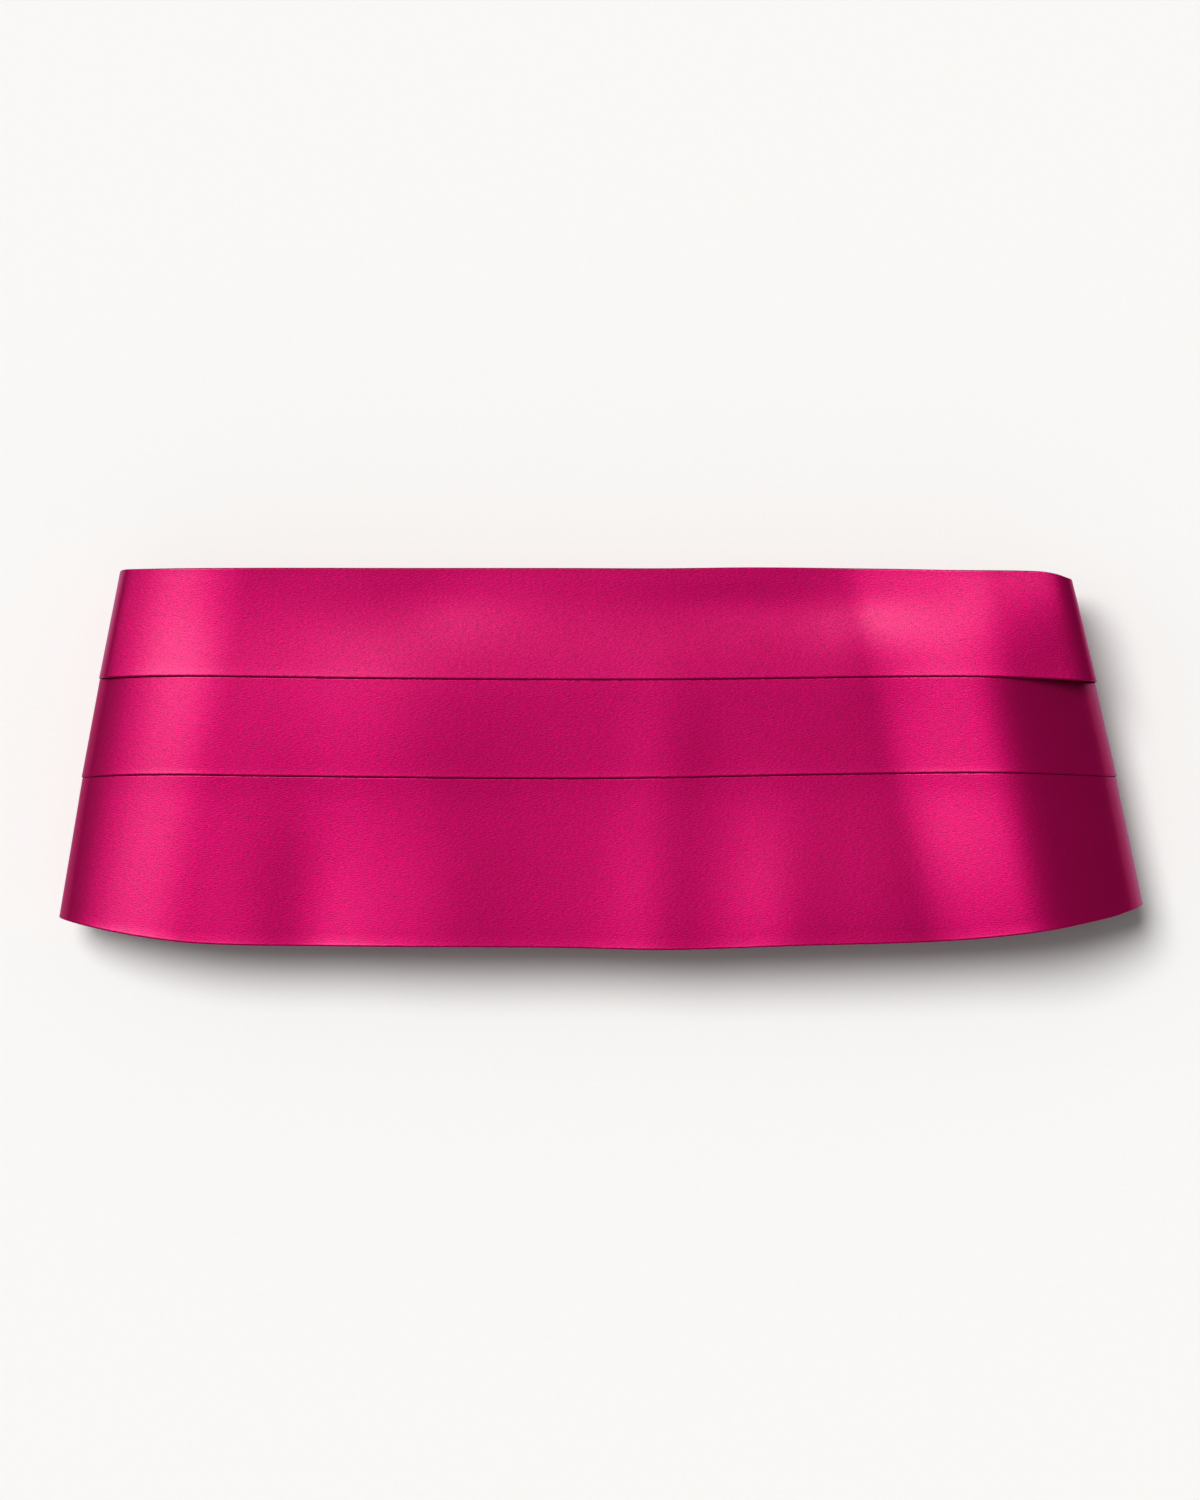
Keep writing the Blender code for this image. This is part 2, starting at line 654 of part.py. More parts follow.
def main():
    """Builds the whole sash."""
    clear_scene()
    bpy.context.scene.collection.children.link(sash)
    satin = make_material("cerise satin", CERISE, 0.4)
    steel = make_material("plated steel", STEEL, 0.3, metallic=1.0)
    build_pleats(satin)
    for side, roll in ROLLS.items():
        build_end_tab("end_tab_" + side, roll, satin)
    build_strap("strap_left", -1, RING_LEFT, RING_LEVEL, RING_LOOP, satin)
    build_strap("strap_right", 1, SLOT_RIGHT - 0.05 * MM, PLATE_LEVEL, BAR_LOOP, satin)
    build_ring(steel)
    build_hook(steel)
    stand_on_origin()


main()
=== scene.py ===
"""Looks of a pleated satin cummerbund lying on its back, with both ends rolled behind it.

Every cloth piece is a thin sheet that follows its solid. The sash is drawn flat, as it was cut, and
bent round a roll at each end, so the weave runs true on every side. Sizes are in metres, "along"
runs from the middle of the front, "up" from its mid height, and "proud" is the distance from the
inner side of the sash.
"""

from __future__ import annotations

import logging
import math
from collections.abc import Callable
from dataclasses import dataclass, field
from enum import Enum

import bmesh
import bpy
from mathutils import Matrix, Vector

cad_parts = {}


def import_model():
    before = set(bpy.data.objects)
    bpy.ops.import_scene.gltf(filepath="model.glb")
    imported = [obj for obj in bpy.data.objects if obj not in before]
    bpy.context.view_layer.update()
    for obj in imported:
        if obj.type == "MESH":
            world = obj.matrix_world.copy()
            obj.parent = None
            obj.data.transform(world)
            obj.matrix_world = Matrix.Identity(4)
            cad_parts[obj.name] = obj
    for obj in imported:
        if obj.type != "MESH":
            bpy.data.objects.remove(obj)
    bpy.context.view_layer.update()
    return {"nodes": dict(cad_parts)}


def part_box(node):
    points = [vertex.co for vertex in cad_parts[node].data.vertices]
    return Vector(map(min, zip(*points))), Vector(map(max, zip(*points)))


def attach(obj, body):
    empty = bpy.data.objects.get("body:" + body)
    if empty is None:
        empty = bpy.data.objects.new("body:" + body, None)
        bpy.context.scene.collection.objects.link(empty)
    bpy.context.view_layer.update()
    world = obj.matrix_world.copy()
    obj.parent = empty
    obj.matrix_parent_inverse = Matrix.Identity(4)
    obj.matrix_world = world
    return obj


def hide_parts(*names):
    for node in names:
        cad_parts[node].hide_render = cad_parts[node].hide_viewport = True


MM = 0.001
log = logging.getLogger("cummerbund")

Point = tuple[float, float]
Triple = tuple[float, float, float]
Colour = tuple[float, float, float, float]

# Shares of a straight run of cloth where it has its points.
QUARTERS = (0.25, 0.5, 0.75)
# The middle of the fastener's ring, measured from the middle of the front.
RING_PLACE = (-22.5 * MM, -18.0 * MM)
# How far the edges of the straps and the hook are rounded.
EDGE_ROUND = 0.3 * MM


class Side(Enum):
    """The two ends of the sash, by the sign of X."""

    LEFT = -1
    RIGHT = 1


class Slot(Enum):
    """The finishes that the part's record names."""

    SATIN = "cerise_satin"
    STEEL = "plated_steel"


def smooth(x: float) -> float:
    """Smooth step from 0 to 1."""
    x = min(1.0, max(0.0, x))
    return x * x * (3.0 - 2.0 * x)


def between(a: float | Vector, b: float | Vector, share: float) -> float | Vector:
    """The number or vector that lies a share of the way from a to b."""
    return a + (b - a) * share


class Value:
    """A number socket that Python's operators work on."""

    def __init__(self, bench: Bench, socket: bpy.types.NodeSocket) -> None:
        """Wraps a socket.

        Args:
            bench: the bench that adds the nodes.
            socket: the output socket that holds the number.
        """
        self.bench = bench
        self.socket = socket

    def _with(self, operation: str, first: float | Value, second: float | Value) -> Value:
        """One Math node on two numbers or values."""
        node = self.bench.add("ShaderNodeMath", {"operation": operation}, {0: first, 1: second})
        return Value(self.bench, node.outputs[0])

    def __add__(self, other: float | Value) -> Value:
        """self + other."""
        return self._with("ADD", self, other)

    def __radd__(self, other: float | Value) -> Value:
        """other + self."""
        return self._with("ADD", other, self)

    def __sub__(self, other: float | Value) -> Value:
        """self - other."""
        return self._with("SUBTRACT", self, other)

    def __rsub__(self, other: float | Value) -> Value:
        """other - self."""
        return self._with("SUBTRACT", other, self)

    def __mul__(self, other: float | Value) -> Value:
        """self * other."""
        return self._with("MULTIPLY", self, other)

    def __rmul__(self, other: float | Value) -> Value:
        """other * self."""
        return self._with("MULTIPLY", other, self)


class Bench:
    """Adds nodes to one material."""

    def __init__(self, name: str) -> None:
        """Starts a material that holds only its Principled shader.

        Args:
            name: the material's name.
        """
        self.material = bpy.data.materials.new(name)
        self.material.use_nodes = True
        self.tree = self.material.node_tree
        self.shader = self.tree.nodes["Principled BSDF"]

    def add(self, kind: str, settings: dict, sockets: dict) -> bpy.types.Node:
        """Adds a node.

        Args:
            kind: the node's type.
            settings: its properties, which are set first.
            sockets: values, sockets or nodes' outputs for its inputs, by name or number.

        Returns:
            The new node.
        """
        node = self.tree.nodes.new(kind)
        for key, value in settings.items():
            setattr(node, key, value)
        for key, value in sockets.items():
            self.feed(node.inputs[key], value)
        return node

    def feed(self, socket: bpy.types.NodeSocket, value: object) -> None:
        """Sets a socket, or links it to another.

        Args:
            socket: an input socket.
            value: a plain value, a Value or an output socket.
        """
        if isinstance(value, Value):
            value = value.socket
        if isinstance(value, bpy.types.NodeSocket):
            self.tree.links.new(value, socket)
        else:
            socket.default_value = value

    def dress(self, **sockets: object) -> None:
        """Feeds the shader's sockets, named with underscores for spaces."""
        for key, value in sockets.items():
            self.feed(self.shader.inputs[key.replace("_", " ")], value)

    def stretched(self, vector: bpy.types.NodeSocket, stretch: Triple) -> bpy.types.NodeSocket:
        """A vector, each part of it times a stretch."""
        return self.add("ShaderNodeMapping", {}, {"Vector": vector, "Scale": stretch}).outputs[0]

    def cloth(self, stretch: Triple) -> bpy.types.NodeSocket:
        """Coordinates on the cloth, in metres along and down it, each times a stretch."""
        return self.stretched(self.add("ShaderNodeUVMap", {"uv_map": "cloth"}, {}).outputs[0], stretch)

    def body(self, stretch: Triple) -> bpy.types.NodeSocket:
        """Coordinates on the object, in metres, each times a stretch."""
        return self.stretched(self.add("ShaderNodeTexCoord", {}, {}).outputs["Object"], stretch)

    def noise(self, vector: bpy.types.NodeSocket, detail: float = 2.0, rough: float = 0.5) -> Value:
        """Soft noise, from 0 to 1, with cells one unit wide."""
        sockets = {"Vector": vector, "Scale": 1.0, "Detail": detail, "Roughness": rough}
        return Value(self, self.add("ShaderNodeTexNoise", {}, sockets).outputs[0])

    def blend(self, share: float | Value, first: Colour, second: Colour) -> bpy.types.NodeSocket:
        """A colour between two, by a share."""
        node = self.add("ShaderNodeMix", {"data_type": "RGBA"}, {0: share, 6: first, 7: second})
        return node.outputs[2]

    def relief(self, height: Value, strength: float, depth: float) -> bpy.types.NodeSocket:
        """Fine relief for the shader's Normal."""
        node = self.add("ShaderNodeBump", {}, {"Height": height, "Strength": strength, "Distance": depth})
        return node.outputs[0]


@dataclass(frozen=True)
class Satin:
    """Cerise satin: long floats of shiny yarn that run along the sash."""

    name: str = "cerise_satin"
    light: Colour = (0.345, 0.0010, 0.073, 1.0)
    dark: Colour = (0.285, 0.0007, 0.054, 1.0)
    metallic: float = 0.60
    roughness: float = 0.30
    specular: float = 0.12
    tint: Colour = (1.0, 0.10, 0.80, 1.0)
    coat: float = 0.10
    coat_ior: float = 1.65
    coat_roughness: float = 0.20
    float_length: float = 1.4 * MM
    yarn: float = 0.22 * MM
    grain: float = 1.05 * MM
    depth: float = 0.088 * MM
    clouds: Triple = (55.0, 75.0, 1.0)

    def material(self) -> bpy.types.Material:
        """Lays yarns, grain and a slight cloudiness over the satin.

        Returns:
            The satin.
        """
        bench = Bench(self.name)
        yarns = bench.noise(bench.cloth((1 / self.float_length, 1 / self.yarn, 1.0)), 1.0)
        grain = bench.noise(bench.cloth((1 / self.grain, 1 / self.grain, 1.0)), 2.0, 0.6)
        cloud = bench.noise(bench.cloth(self.clouds), 2.0)
        shade = yarns * 0.25 + grain * 0.35 + cloud * 0.40
        height = yarns * 0.9 + grain * 0.1
        bench.dress(
            Base_Color=bench.blend(shade, self.dark, self.light),
            Metallic=self.metallic,
            Specular_IOR_Level=self.specular,
            Roughness=grain * 0.10 + yarns * 0.06 + self.roughness,
            Normal=bench.relief(height, 1.0, self.depth),
            Specular_Tint=self.tint,
            Coat_Weight=self.coat,
            Coat_IOR=self.coat_ior,
            Coat_Roughness=self.coat_roughness,
        )
        return bench.material


@dataclass(frozen=True)
class Thread:
    """Sewing thread, a shade darker than the satin and duller."""

    name: str = "cerise_thread"
    light: Colour = (0.46, 0.006, 0.11, 1.0)
    dark: Colour = (0.30, 0.004, 0.07, 1.0)
    roughness: float = 0.45
    twists: Triple = (2500.0, 2500.0, 2500.0)

    def material(self) -> bpy.types.Material:
        """Gives the thread a twist in its colour.

        Returns:
            The thread.
        """
        bench = Bench(self.name)
        twist = bench.noise(bench.body(self.twists), 1.0)
        bench.dress(
            Base_Color=bench.blend(twist, self.dark, self.light),
            Roughness=twist * 0.2 + self.roughness,
        )
        return bench.material


@dataclass(frozen=True)
class PlatedSteel:
    """Nickel-plated steel with a fine drawn grain and a few rubs."""

    name: str = "plated_steel"
    light: Colour = (0.68, 0.67, 0.65, 1.0)
    dark: Colour = (0.52, 0.51, 0.49, 1.0)
    roughness: float = 0.12
    depth: float = 0.02 * MM
    lines: Triple = (400.0, 6000.0, 6000.0)
    rubs: Triple = (260.0, 260.0, 260.0)

    def material(self) -> bpy.types.Material:
        """Makes the plating rougher where it is rubbed.

        Returns:
            The plating.
        """
        bench = Bench(self.name)
        drawn = bench.noise(bench.body(self.lines), 2.0)
        rubbed = bench.noise(bench.body(self.rubs), 3.0)
        bench.dress(
            Base_Color=bench.blend(rubbed, self.dark, self.light),
            Metallic=1.0,
            Roughness=drawn * 0.12 + rubbed * 0.18 + self.roughness,
            Normal=bench.relief(drawn, 0.15, self.depth),
        )
        return bench.material


@dataclass(frozen=True)
class StudioFloor:
    """The off-white surface under the sash."""

    name: str = "pale_floor"
    light: Colour = (0.876, 0.870, 0.858, 1.0)
    dark: Colour = (0.848, 0.842, 0.830, 1.0)
    roughness: float = 0.9
    specular: float = 0.1
    grains: Triple = (900.0, 900.0, 900.0)

    def material(self) -> bpy.types.Material:
        """Makes a matte off-white with hardly any tooth.

        Returns:
            The surface's finish.
        """
        bench = Bench(self.name)
        tooth = bench.noise(bench.body(self.grains), 2.0)
        bench.dress(
            Base_Color=bench.blend(tooth, self.dark, self.light),
            Roughness=self.roughness,
            Specular_IOR_Level=self.specular,
        )
        return bench.material


@dataclass
class Cut:
    """The cut of the sash: heights of the top edge, both folds and the hem, in mm, at places along it."""

    rows: tuple = (
        (-225.0, 62.6, 25.6, -7.6, -37.0),
        (-200.0, 62.8, 25.9, -7.4, -45.8),
        (-180.0, 63.0, 26.4, -7.0, -51.9),
        (-160.0, 63.2, 27.1, -6.0, -56.8),
        (-140.0, 63.3, 27.3, -5.7, -60.3),
        (-120.0, 63.4, 27.1, -5.9, -62.3),
        (-80.0, 63.4, 26.6, -6.4, -63.0),
        (-15.0, 63.4, 26.2, -6.9, -63.4),
        (22.0, 63.3, 26.2, -6.6, -64.1),
        (60.0, 63.6, 26.6, -5.8, -62.7),
        (105.0, 63.1, 27.1, -5.1, -61.1),
        (135.0, 62.4, 27.0, -5.0, -57.8),
        (160.0, 61.9, 25.9, -5.8, -53.1),
        (166.0, 61.0, 25.6, -6.0, -51.4),
        (170.0, 59.6, 25.4, -6.2, -50.3),
        (175.0, 58.9, 25.1, -6.5, -48.8),
        (184.0, 59.6, 24.8, -6.8, -45.9),
        (200.0, 60.2, 24.3, -7.2, -39.2),
        (225.0, 59.6, 23.9, -7.4, -27.6),
    )

    def at(self, along: float) -> list[float]:
        """Finds the heights of the four lines at a place, on smooth curves through the rows.

        Args:
            along: the place.

        Returns:
            Heights of the top edge, the upper fold, the lower fold and the hem.
        """
        rows = [[value * MM for value in row] for row in self.rows]
        last = len(rows) - 2
        i = next((k for k in range(last) if along < rows[k + 1][0]), last)
        before, start, end, after = rows[max(i - 1, 0)], rows[i], rows[i + 1], rows[min(i + 2, last + 1)]
        run = end[0] - start[0]
        t = (along - start[0]) / run
        heights = []
        for c in range(1, 5):
            slope_in = (end[c] - before[c]) / (end[0] - before[0]) * run
            slope_out = (after[c] - start[c]) / (after[0] - start[0]) * run
            heights.append(
                (2 * t**3 - 3 * t**2 + 1) * start[c]
                + (t**3 - 2 * t**2 + t) * slope_in
                + (3 * t**2 - 2 * t**3) * end[c]
                + (t**3 - t**2) * slope_out
            )
        return heights


@dataclass
class Swells:
    """Soft ridges and troughs of the front and of the rolled-back ends.

    Each row is where the swell is, along and up, how far it reaches each way and how high it stands, in
    mm. The top edge sags a little at its middle, and the cloth rises again towards the hem.
    """

    front: tuple = (
        (-150.0, -90.0, 45.0, 80.0, -2.0),
        (-138.0, 78.0, 38.0, 26.0, 1.6),
        (-97.0, -60.0, 15.0, 44.0, -1.2),
        (-54.0, -60.0, 22.0, 44.0, 0.8),
        (20.0, -60.0, 14.0, 44.0, 0.7),
        (62.0, -60.0, 14.0, 40.0, 0.6),
        (95.0, -60.0, 58.0, 44.0, 3.0),
        (-66.0, 8.0, 30.0, 30.0, 0.9),
        (24.0, 4.0, 12.0, 24.0, 0.3),
        (-57.0, 52.0, 24.0, 13.0, -0.6),
        (45.0, 50.0, 30.0, 9.0, -0.6),
        (86.0, 52.0, 26.0, 12.0, -0.6),
        (92.0, 46.0, 17.0, 24.0, 0.7),
        (141.0, 48.0, 18.0, 22.0, 0.8),
    )
    back: tuple = (
        (-196.0, 22.0, 20.0, 30.0, 0.9),
        (-214.0, -24.0, 15.0, 22.0, 0.6),
        (-238.0, 34.0, 16.0, 22.0, 0.8),
        (-252.0, -6.0, 14.0, 20.0, 0.6),
        (-270.0, 26.0, 11.0, 20.0, 0.4),
        (194.0, -14.0, 19.0, 30.0, 0.8),
        (216.0, 34.0, 18.0, 24.0, 0.9),
        (236.0, 2.0, 15.0, 22.0, 0.7),
        (258.0, 36.0, 13.0, 18.0, 0.6),
        (268.0, -4.0, 11.0, 18.0, 0.4),
    )
    top_drop: float = 1.4 * MM
    top_middle: float = 10.0 * MM
    top_reach: float = 105.0 * MM
    top_from: float = 22.0 * MM
    top_run: float = 34.0 * MM
    hem_slope: float = 0.05
    hem_from: float = -8.0 * MM
    hem_ease: float = 8.0 * MM

    @staticmethod
    def waves(rows: tuple, along: float, up: float) -> float:
        """Adds up some rows' swells at a place.

        Args:
            rows: the swells.
            along: the place along the cloth.
            up: its height on the cloth.

        Returns:
            How far the cloth is raised there.
        """
        total = 0.0
        for row in rows:
            place, level, reach, span, height = (value * MM for value in row)
            total += height * math.exp(-(((along - place) / reach) ** 2) - ((up - level) / span) ** 2)
        return total

    def height(self, along: float, up: float) -> float:
        """Adds the sag of the top edge and the rise to the hem to the front's swells.

        Args:
            along: the place along the cloth.
            up: its height on the cloth.

        Returns:
            How far the front stands proud of its flat level there.
        """
        total = self.waves(self.front, along, up)
        under = max(0.0, self.hem_from - up)
        share = math.exp(-(((along - self.top_middle) / self.top_reach) ** 2))
        total -= self.top_drop * share * smooth((up - self.top_from) / self.top_run)
        return total + self.hem_slope * under * under / (under + self.hem_ease)


@dataclass
class Lying:
    """Levels of the sash as it lies."""

    stack: float = 3.7 * MM
    height: float = 36.0 * MM
    tail_end: float = 60.0 * MM
    tail_end_top: float = 12.0 * MM
    tail_end_hem: float = -48.0 * MM
    tab_layer: float = 1.3 * MM
    tab_ramp_start: float = 15.0 * MM
    tab_ramp: float = 22.0 * MM

    @property
    def front_level(self) -> float:
        """Height of the front's inner side."""
        return self.height - self.stack

    @property
    def tail_level(self) -> float:
        """Height of the tails' inner side."""
        return self.stack


@dataclass
class Roll:
    """One rolled end: half a turn of the cloth about an axis that leans outwards to the hem.

    Its outer edge lies "edge" from the middle. The front's quarter turn is even for the share "ease" and
    sharpens by "power". "ridge" is the height of the ridge beside it, and "stiff" and "corner" say how
    far the top pleat stands off the bend.
    """

    side: Side
    lean: float
    edge: float
    ease: float
    power: float
    ridge: float
    stiff: float
    corner: float
    back_power: float = 2.0
    front_share: float = 0.40
    ridge_start: float = -33.0 * MM
    ridge_run: float = 48.0 * MM
    corner_start: float = math.radians(14)
    corner_run: float = math.radians(40)
    corner_fade: float = math.radians(40)
    fold_stiffness: float = 0.85
    stiff_from: float = 25.0 * MM
    stiff_run: float = 30.0 * MM
    quarter_steps: int = 400
    walk_step: float = 0.1 * MM
    halvings: int = 30
    lying: Lying = field(default_factory=Lying)

    def __post_init__(self) -> None:
        """Works out the lengths of the turn and where it starts."""
        self.sign = self.side.value
        self.outward = Vector((self.sign * math.cos(self.lean), math.sin(self.lean), 0.0))
        self.axis = Vector((self.sign * math.sin(self.lean), -math.cos(self.lean), 0.0))
        drop = self.lying.front_level - self.lying.tail_level
        self.front_length = self.front_share * drop / self.drop_of(self.ease, self.power)
        self.back_length = (1 - self.front_share) * drop / self.drop_of(0.0, self.back_power)
        self.length = self.front_length + self.back_length
        self.reach, self.fall = self.walk()
        quarter = self.look_up(self.reach, self.front_length)
        self.start = self.edge - (quarter + self.lying.stack) / math.cos(self.lean)

    @staticmethod
    def quarter(share: float, ease: float, power: float) -> float:
        """Angle turned at a share of a quarter turn, evenly at first and then by a power of the share."""
        return 0.5 * math.pi * (ease * share + (1 - ease) * share**power)

    def drop_of(self, ease: float, power: float) -> float:
        """Fall of a quarter turn one unit long."""
        steps = self.quarter_steps
        return sum(math.sin(self.quarter((k + 0.5) / steps, ease, power)) for k in range(steps)) / steps

    def turn(self, distance: float) -> float:
        """Finds the angle that the cloth has turned.

        Args:
            distance: how far the cloth is past the line where the roll starts.

        Returns:
            The angle, from nothing on the front to half a turn on the tail.
        """
        if distance <= 0.0:
            return 0.0
        if distance <= self.front_length:
            return self.quarter(distance / self.front_length, self.ease, self.power)
        left = max(0.0, (self.length - distance) / self.back_length)
        return math.pi - self.quarter(left, 0.0, self.back_power)

    def walk(self) -> tuple[list[float], list[float]]:
        """Goes round the roll in small steps.

        Returns:
            The running reach outwards and the running fall.
        """
        steps = math.ceil(self.length / self.walk_step)
        step = self.length / steps
        reach, fall = [0.0], [0.0]
        for k in range(steps):
            turn = self.turn((k + 0.5) * step)
            reach.append(reach[-1] + math.cos(turn) * step)
            fall.append(fall[-1] + math.sin(turn) * step)
        return reach, fall

    def look_up(self, table: list[float], distance: float) -> float:
        """Reads the walk at a distance round the roll.

        Args:
            table: the walk's reach or fall.
            distance: the distance.

        Returns:
            The reach or fall there.
        """
        place = min(1.0, max(0.0, distance / self.length)) * (len(table) - 1)
        k = min(int(place), len(table) - 2)
        return between(table[k], table[k + 1], place - k)

    def past_start(self, along: float, up: float) -> float:
        """Distance of a point of the flat cloth past the line where the roll starts."""
        return (self.sign * along - self.start) * math.cos(self.lean) + up * math.sin(self.lean)

    def place(self, along: float, up: float, proud: float) -> Vector:
        """Bends a point of the flat cloth round the roll.

        Args:
            along: its place along the cloth.
            up: its height on the cloth.
            proud: its distance from the sash's inner side.

        Returns:
            Where it lies.
        """
        past = self.past_start(along, up)
        down = (self.sign * along - self.start) * math.sin(self.lean) - up * math.cos(self.lean)
        turn = self.turn(past)
        reach = self.look_up(self.reach, past) - max(0.0, past - self.length)
        level = self.lying.front_level - self.look_up(self.fall, past)
        point = Vector((self.sign * self.start, 0.0, level)) + self.axis * down + self.outward * reach
        if past > self.length:
            left_over = self.sign * point.x - self.lying.tail_end - self.lying.tab_ramp_start
            point.z += self.lying.tab_layer * smooth(1.0 - left_over / self.lying.tab_ramp)
        return point + (self.outward * math.sin(turn) + Vector((0.0, 0.0, math.cos(turn)))) * proud

    def rise(self, past: float) -> float:
        """Height of the soft ridge that runs beside the roll."""
        return self.ridge * smooth((past - self.ridge_start) / self.ridge_run)

    def stand_off(self, past: float, up: float) -> float:
        """Works out how far the top pleat stands above the bend of the rest, less at its fold.

        Args:
            past: distance past the line where the roll starts.
            up: height on the cloth.

        Returns:
            The distance.
        """
        turn = self.turn(past)
        share = between(self.fold_stiffness, 1.0, smooth((up - self.stiff_from) / self.stiff_run))
        even_fall = 0.25 * math.pi * self.ease * max(0.0, past) ** 2 / self.front_length
        corner = self.corner * smooth((turn - self.corner_start) / self.corner_run)
        return share * (self.stiff * even_fall + corner) * (1.0 - smooth(turn / self.corner_fade - 1.0))

    def even(self, share: float) -> float:
        """Finds, by halving, a distance round the roll, spaced by the length and the turn alike.

        Args:
            share: share of the whole roll.

        Returns:
            The distance.
        """
        low, high = 0.0, self.length
        for _ in range(self.halvings):
            middle = 0.5 * (low + high)
            gone = 0.5 * (middle / self.length + self.turn(middle) / math.pi)
            low, high = (middle, high) if gone < share else (low, middle)
        return 0.5 * (low + high)

    def unroll(self, x: float, y: float) -> Point:
        """Finds the point of the flat cloth that lies at a place under the sash.

        Args:
            x: the place across.
            y: the place up from the hem to the top edge.

        Returns:
            Its place along the cloth and its height on it.
        """
        offset = Vector((x - self.sign * self.start, y, 0.0))
        down = offset.dot(self.axis)
        past = self.length + self.reach[-1] - offset.dot(self.outward)
        out = past * math.cos(self.lean) + down * math.sin(self.lean)
        return self.sign * (self.start + out), past * math.sin(self.lean) - down * math.cos(self.lean)


@dataclass
class Station:
    """A line across the flat cloth from its top edge to its hem, with the depths of both folds."""

    top: Vector
    hem: Vector
    folds: list[float]
    tail: float

    @property
    def depth(self) -> float:
        """Distance from the top edge to the hem."""
        return (self.hem - self.top).length

    def flat(self, down: float) -> Vector:
        """The point of the flat cloth at a depth below the top edge."""
        return self.top + (self.hem - self.top) * (down / self.depth)


@dataclass
class Panel:
    """The whole bent panel, which places every point of the flat cloth."""

    shift: Vector
    cut: Cut = field(default_factory=Cut)
    swells: Swells = field(default_factory=Swells)
    lying: Lying = field(default_factory=Lying)
    left: Roll = field(
        default_factory=lambda: Roll(
            side=Side.LEFT,
            lean=math.radians(10.0),
            edge=173.4 * MM,
            ease=0.24,
            power=12.0,
            ridge=0.0,
            stiff=0.22,
            corner=1.5 * MM,
        )
    )
    right: Roll = field(
        default_factory=lambda: Roll(
            side=Side.RIGHT,
            lean=math.radians(12.5),
            edge=173.6 * MM,
            ease=0.30,
            power=20.0,
            ridge=6.0 * MM,
            stiff=1.50,
            corner=0.0,
        )
    )
    front_steps: int = 48
    roll_steps: int = 56
    tail_steps: int = 26

    def roll(self, side: Side) -> Roll:
        """The roll at one side."""
        return self.left if side is Side.LEFT else self.right

    def place(self, flat: Vector, proud: float, stiffness: float = 0.0) -> Vector:
        """Places a point of the flat cloth in the frame, with the swells and the rolls.

        Args:
            flat: the point.
            proud: its distance from the sash's inner side.
            stiffness: share of the top pleat's stand-off that it takes.

        Returns:
            Where it lies.
        """
        along, up = flat
        roll = self.right if along > 0 else self.left
        past = roll.past_start(along, up)
        if past > 0:
            point = roll.place(along, up, proud)
            level = max(0.0, math.cos(roll.turn(past)))
        else:
            point = Vector((along, up, self.lying.front_level + proud))
            level = 1.0
        point.z += (self.swells.height(along, up) + roll.rise(past)) * level * level
        point.z += stiffness * roll.stand_off(past, up)
        back = smooth(roll.turn(past) * 2.0 / math.pi - 1.0)
        if back > 0.0:
            point.z += self.swells.waves(self.swells.back, along, up) * back
        return point + self.shift

    def level_station(self, middle: float, side: Side, slant: float, tail: float) -> Station:
        """Lays a station across the cloth, on a line that leans.

        Args:
            middle: its distance from the middle of the front.
            side: the side that it is on.
            slant: how far its line leans.
            tail: how much the cloth lies as a tail there, from 0 to 1.

        Returns:
            The station.
        """
        along = side.value * middle
        top, first, second, hem = self.cut.at(along)
        spread = math.tan(slant) * side.value
        scale = 1.0 / math.cos(slant)
        return Station(
            Vector((along - spread * top, top)),
            Vector((along - spread * hem, hem)),
            [(top - first) * scale, (top - second) * scale],
            tail,
        )

    def side_stations(self, side: Side) -> list[Station]:
        """Lays the stations of one side.

        Args:
            side: the side.

        Returns:
            Stations from beside the middle of the front, round the roll, to the end of the tail.
        """
        roll = self.roll(side)
        stations = []
        for k in range(1, self.front_steps):
            share = k / self.front_steps
            stations.append(self.level_station(roll.start * share, side, roll.lean * share, 0.0))
        for k in range(self.roll_steps + 1):
            past = roll.even(k / self.roll_steps)
            middle = roll.start + past / math.cos(roll.lean)
            stations.append(self.level_station(middle, side, roll.lean, smooth(roll.turn(past) / math.pi)))
        last = stations[-1]
        end_top = Vector(roll.unroll(roll.sign * self.lying.tail_end, self.lying.tail_end_top))
        end_hem = Vector(roll.unroll(roll.sign * self.lying.tail_end, self.lying.tail_end_hem))
        end_depth = (end_hem - end_top).length
        for k in range(1, self.tail_steps + 1):
            share = k / self.tail_steps
            folds = [between(last.folds[i], end_depth * (i + 1) / 3, smooth(share)) for i in (0, 1)]
            top, hem = between(last.top, end_top, share), between(last.hem, end_hem, share)
            stations.append(Station(top, hem, folds, 1.0))
        return stations

    def stations(self) -> list[Station]:
        """Stations from the left tail's end to the right tail's end."""
        middle = self.level_station(0.0, Side.LEFT, 0.0, 0.0)
        return self.side_stations(Side.LEFT)[::-1] + [middle] + self.side_stations(Side.RIGHT)


def arc(centre: Point, radius: float, start: float, end: float, steps: int) -> list[Point]:
    """Points on a round turn; angles are degrees."""
    turns = [math.radians(between(start, end, k / steps)) for k in range(steps + 1)]
    return [(centre[0] + radius * math.cos(a), centre[1] + radius * math.sin(a)) for a in turns]


def finish_mesh(name: str, bm: bmesh.types.BMesh, material: bpy.types.Material) -> bpy.types.Object:
    """Makes a smooth named piece from a bmesh.

    Args:
        name: the piece's name.
        bm: its shape, in the frame; it is freed.
        material: its finish.

    Returns:
        The piece, at the origin.
    """
    mesh = bpy.data.meshes.new(name)
    bm.to_mesh(mesh)
    bm.free()
    mesh.materials.append(material)
    mesh.shade_smooth()
    piece = bpy.data.objects.new(name, mesh)
    bpy.context.scene.collection.objects.link(piece)
    return piece


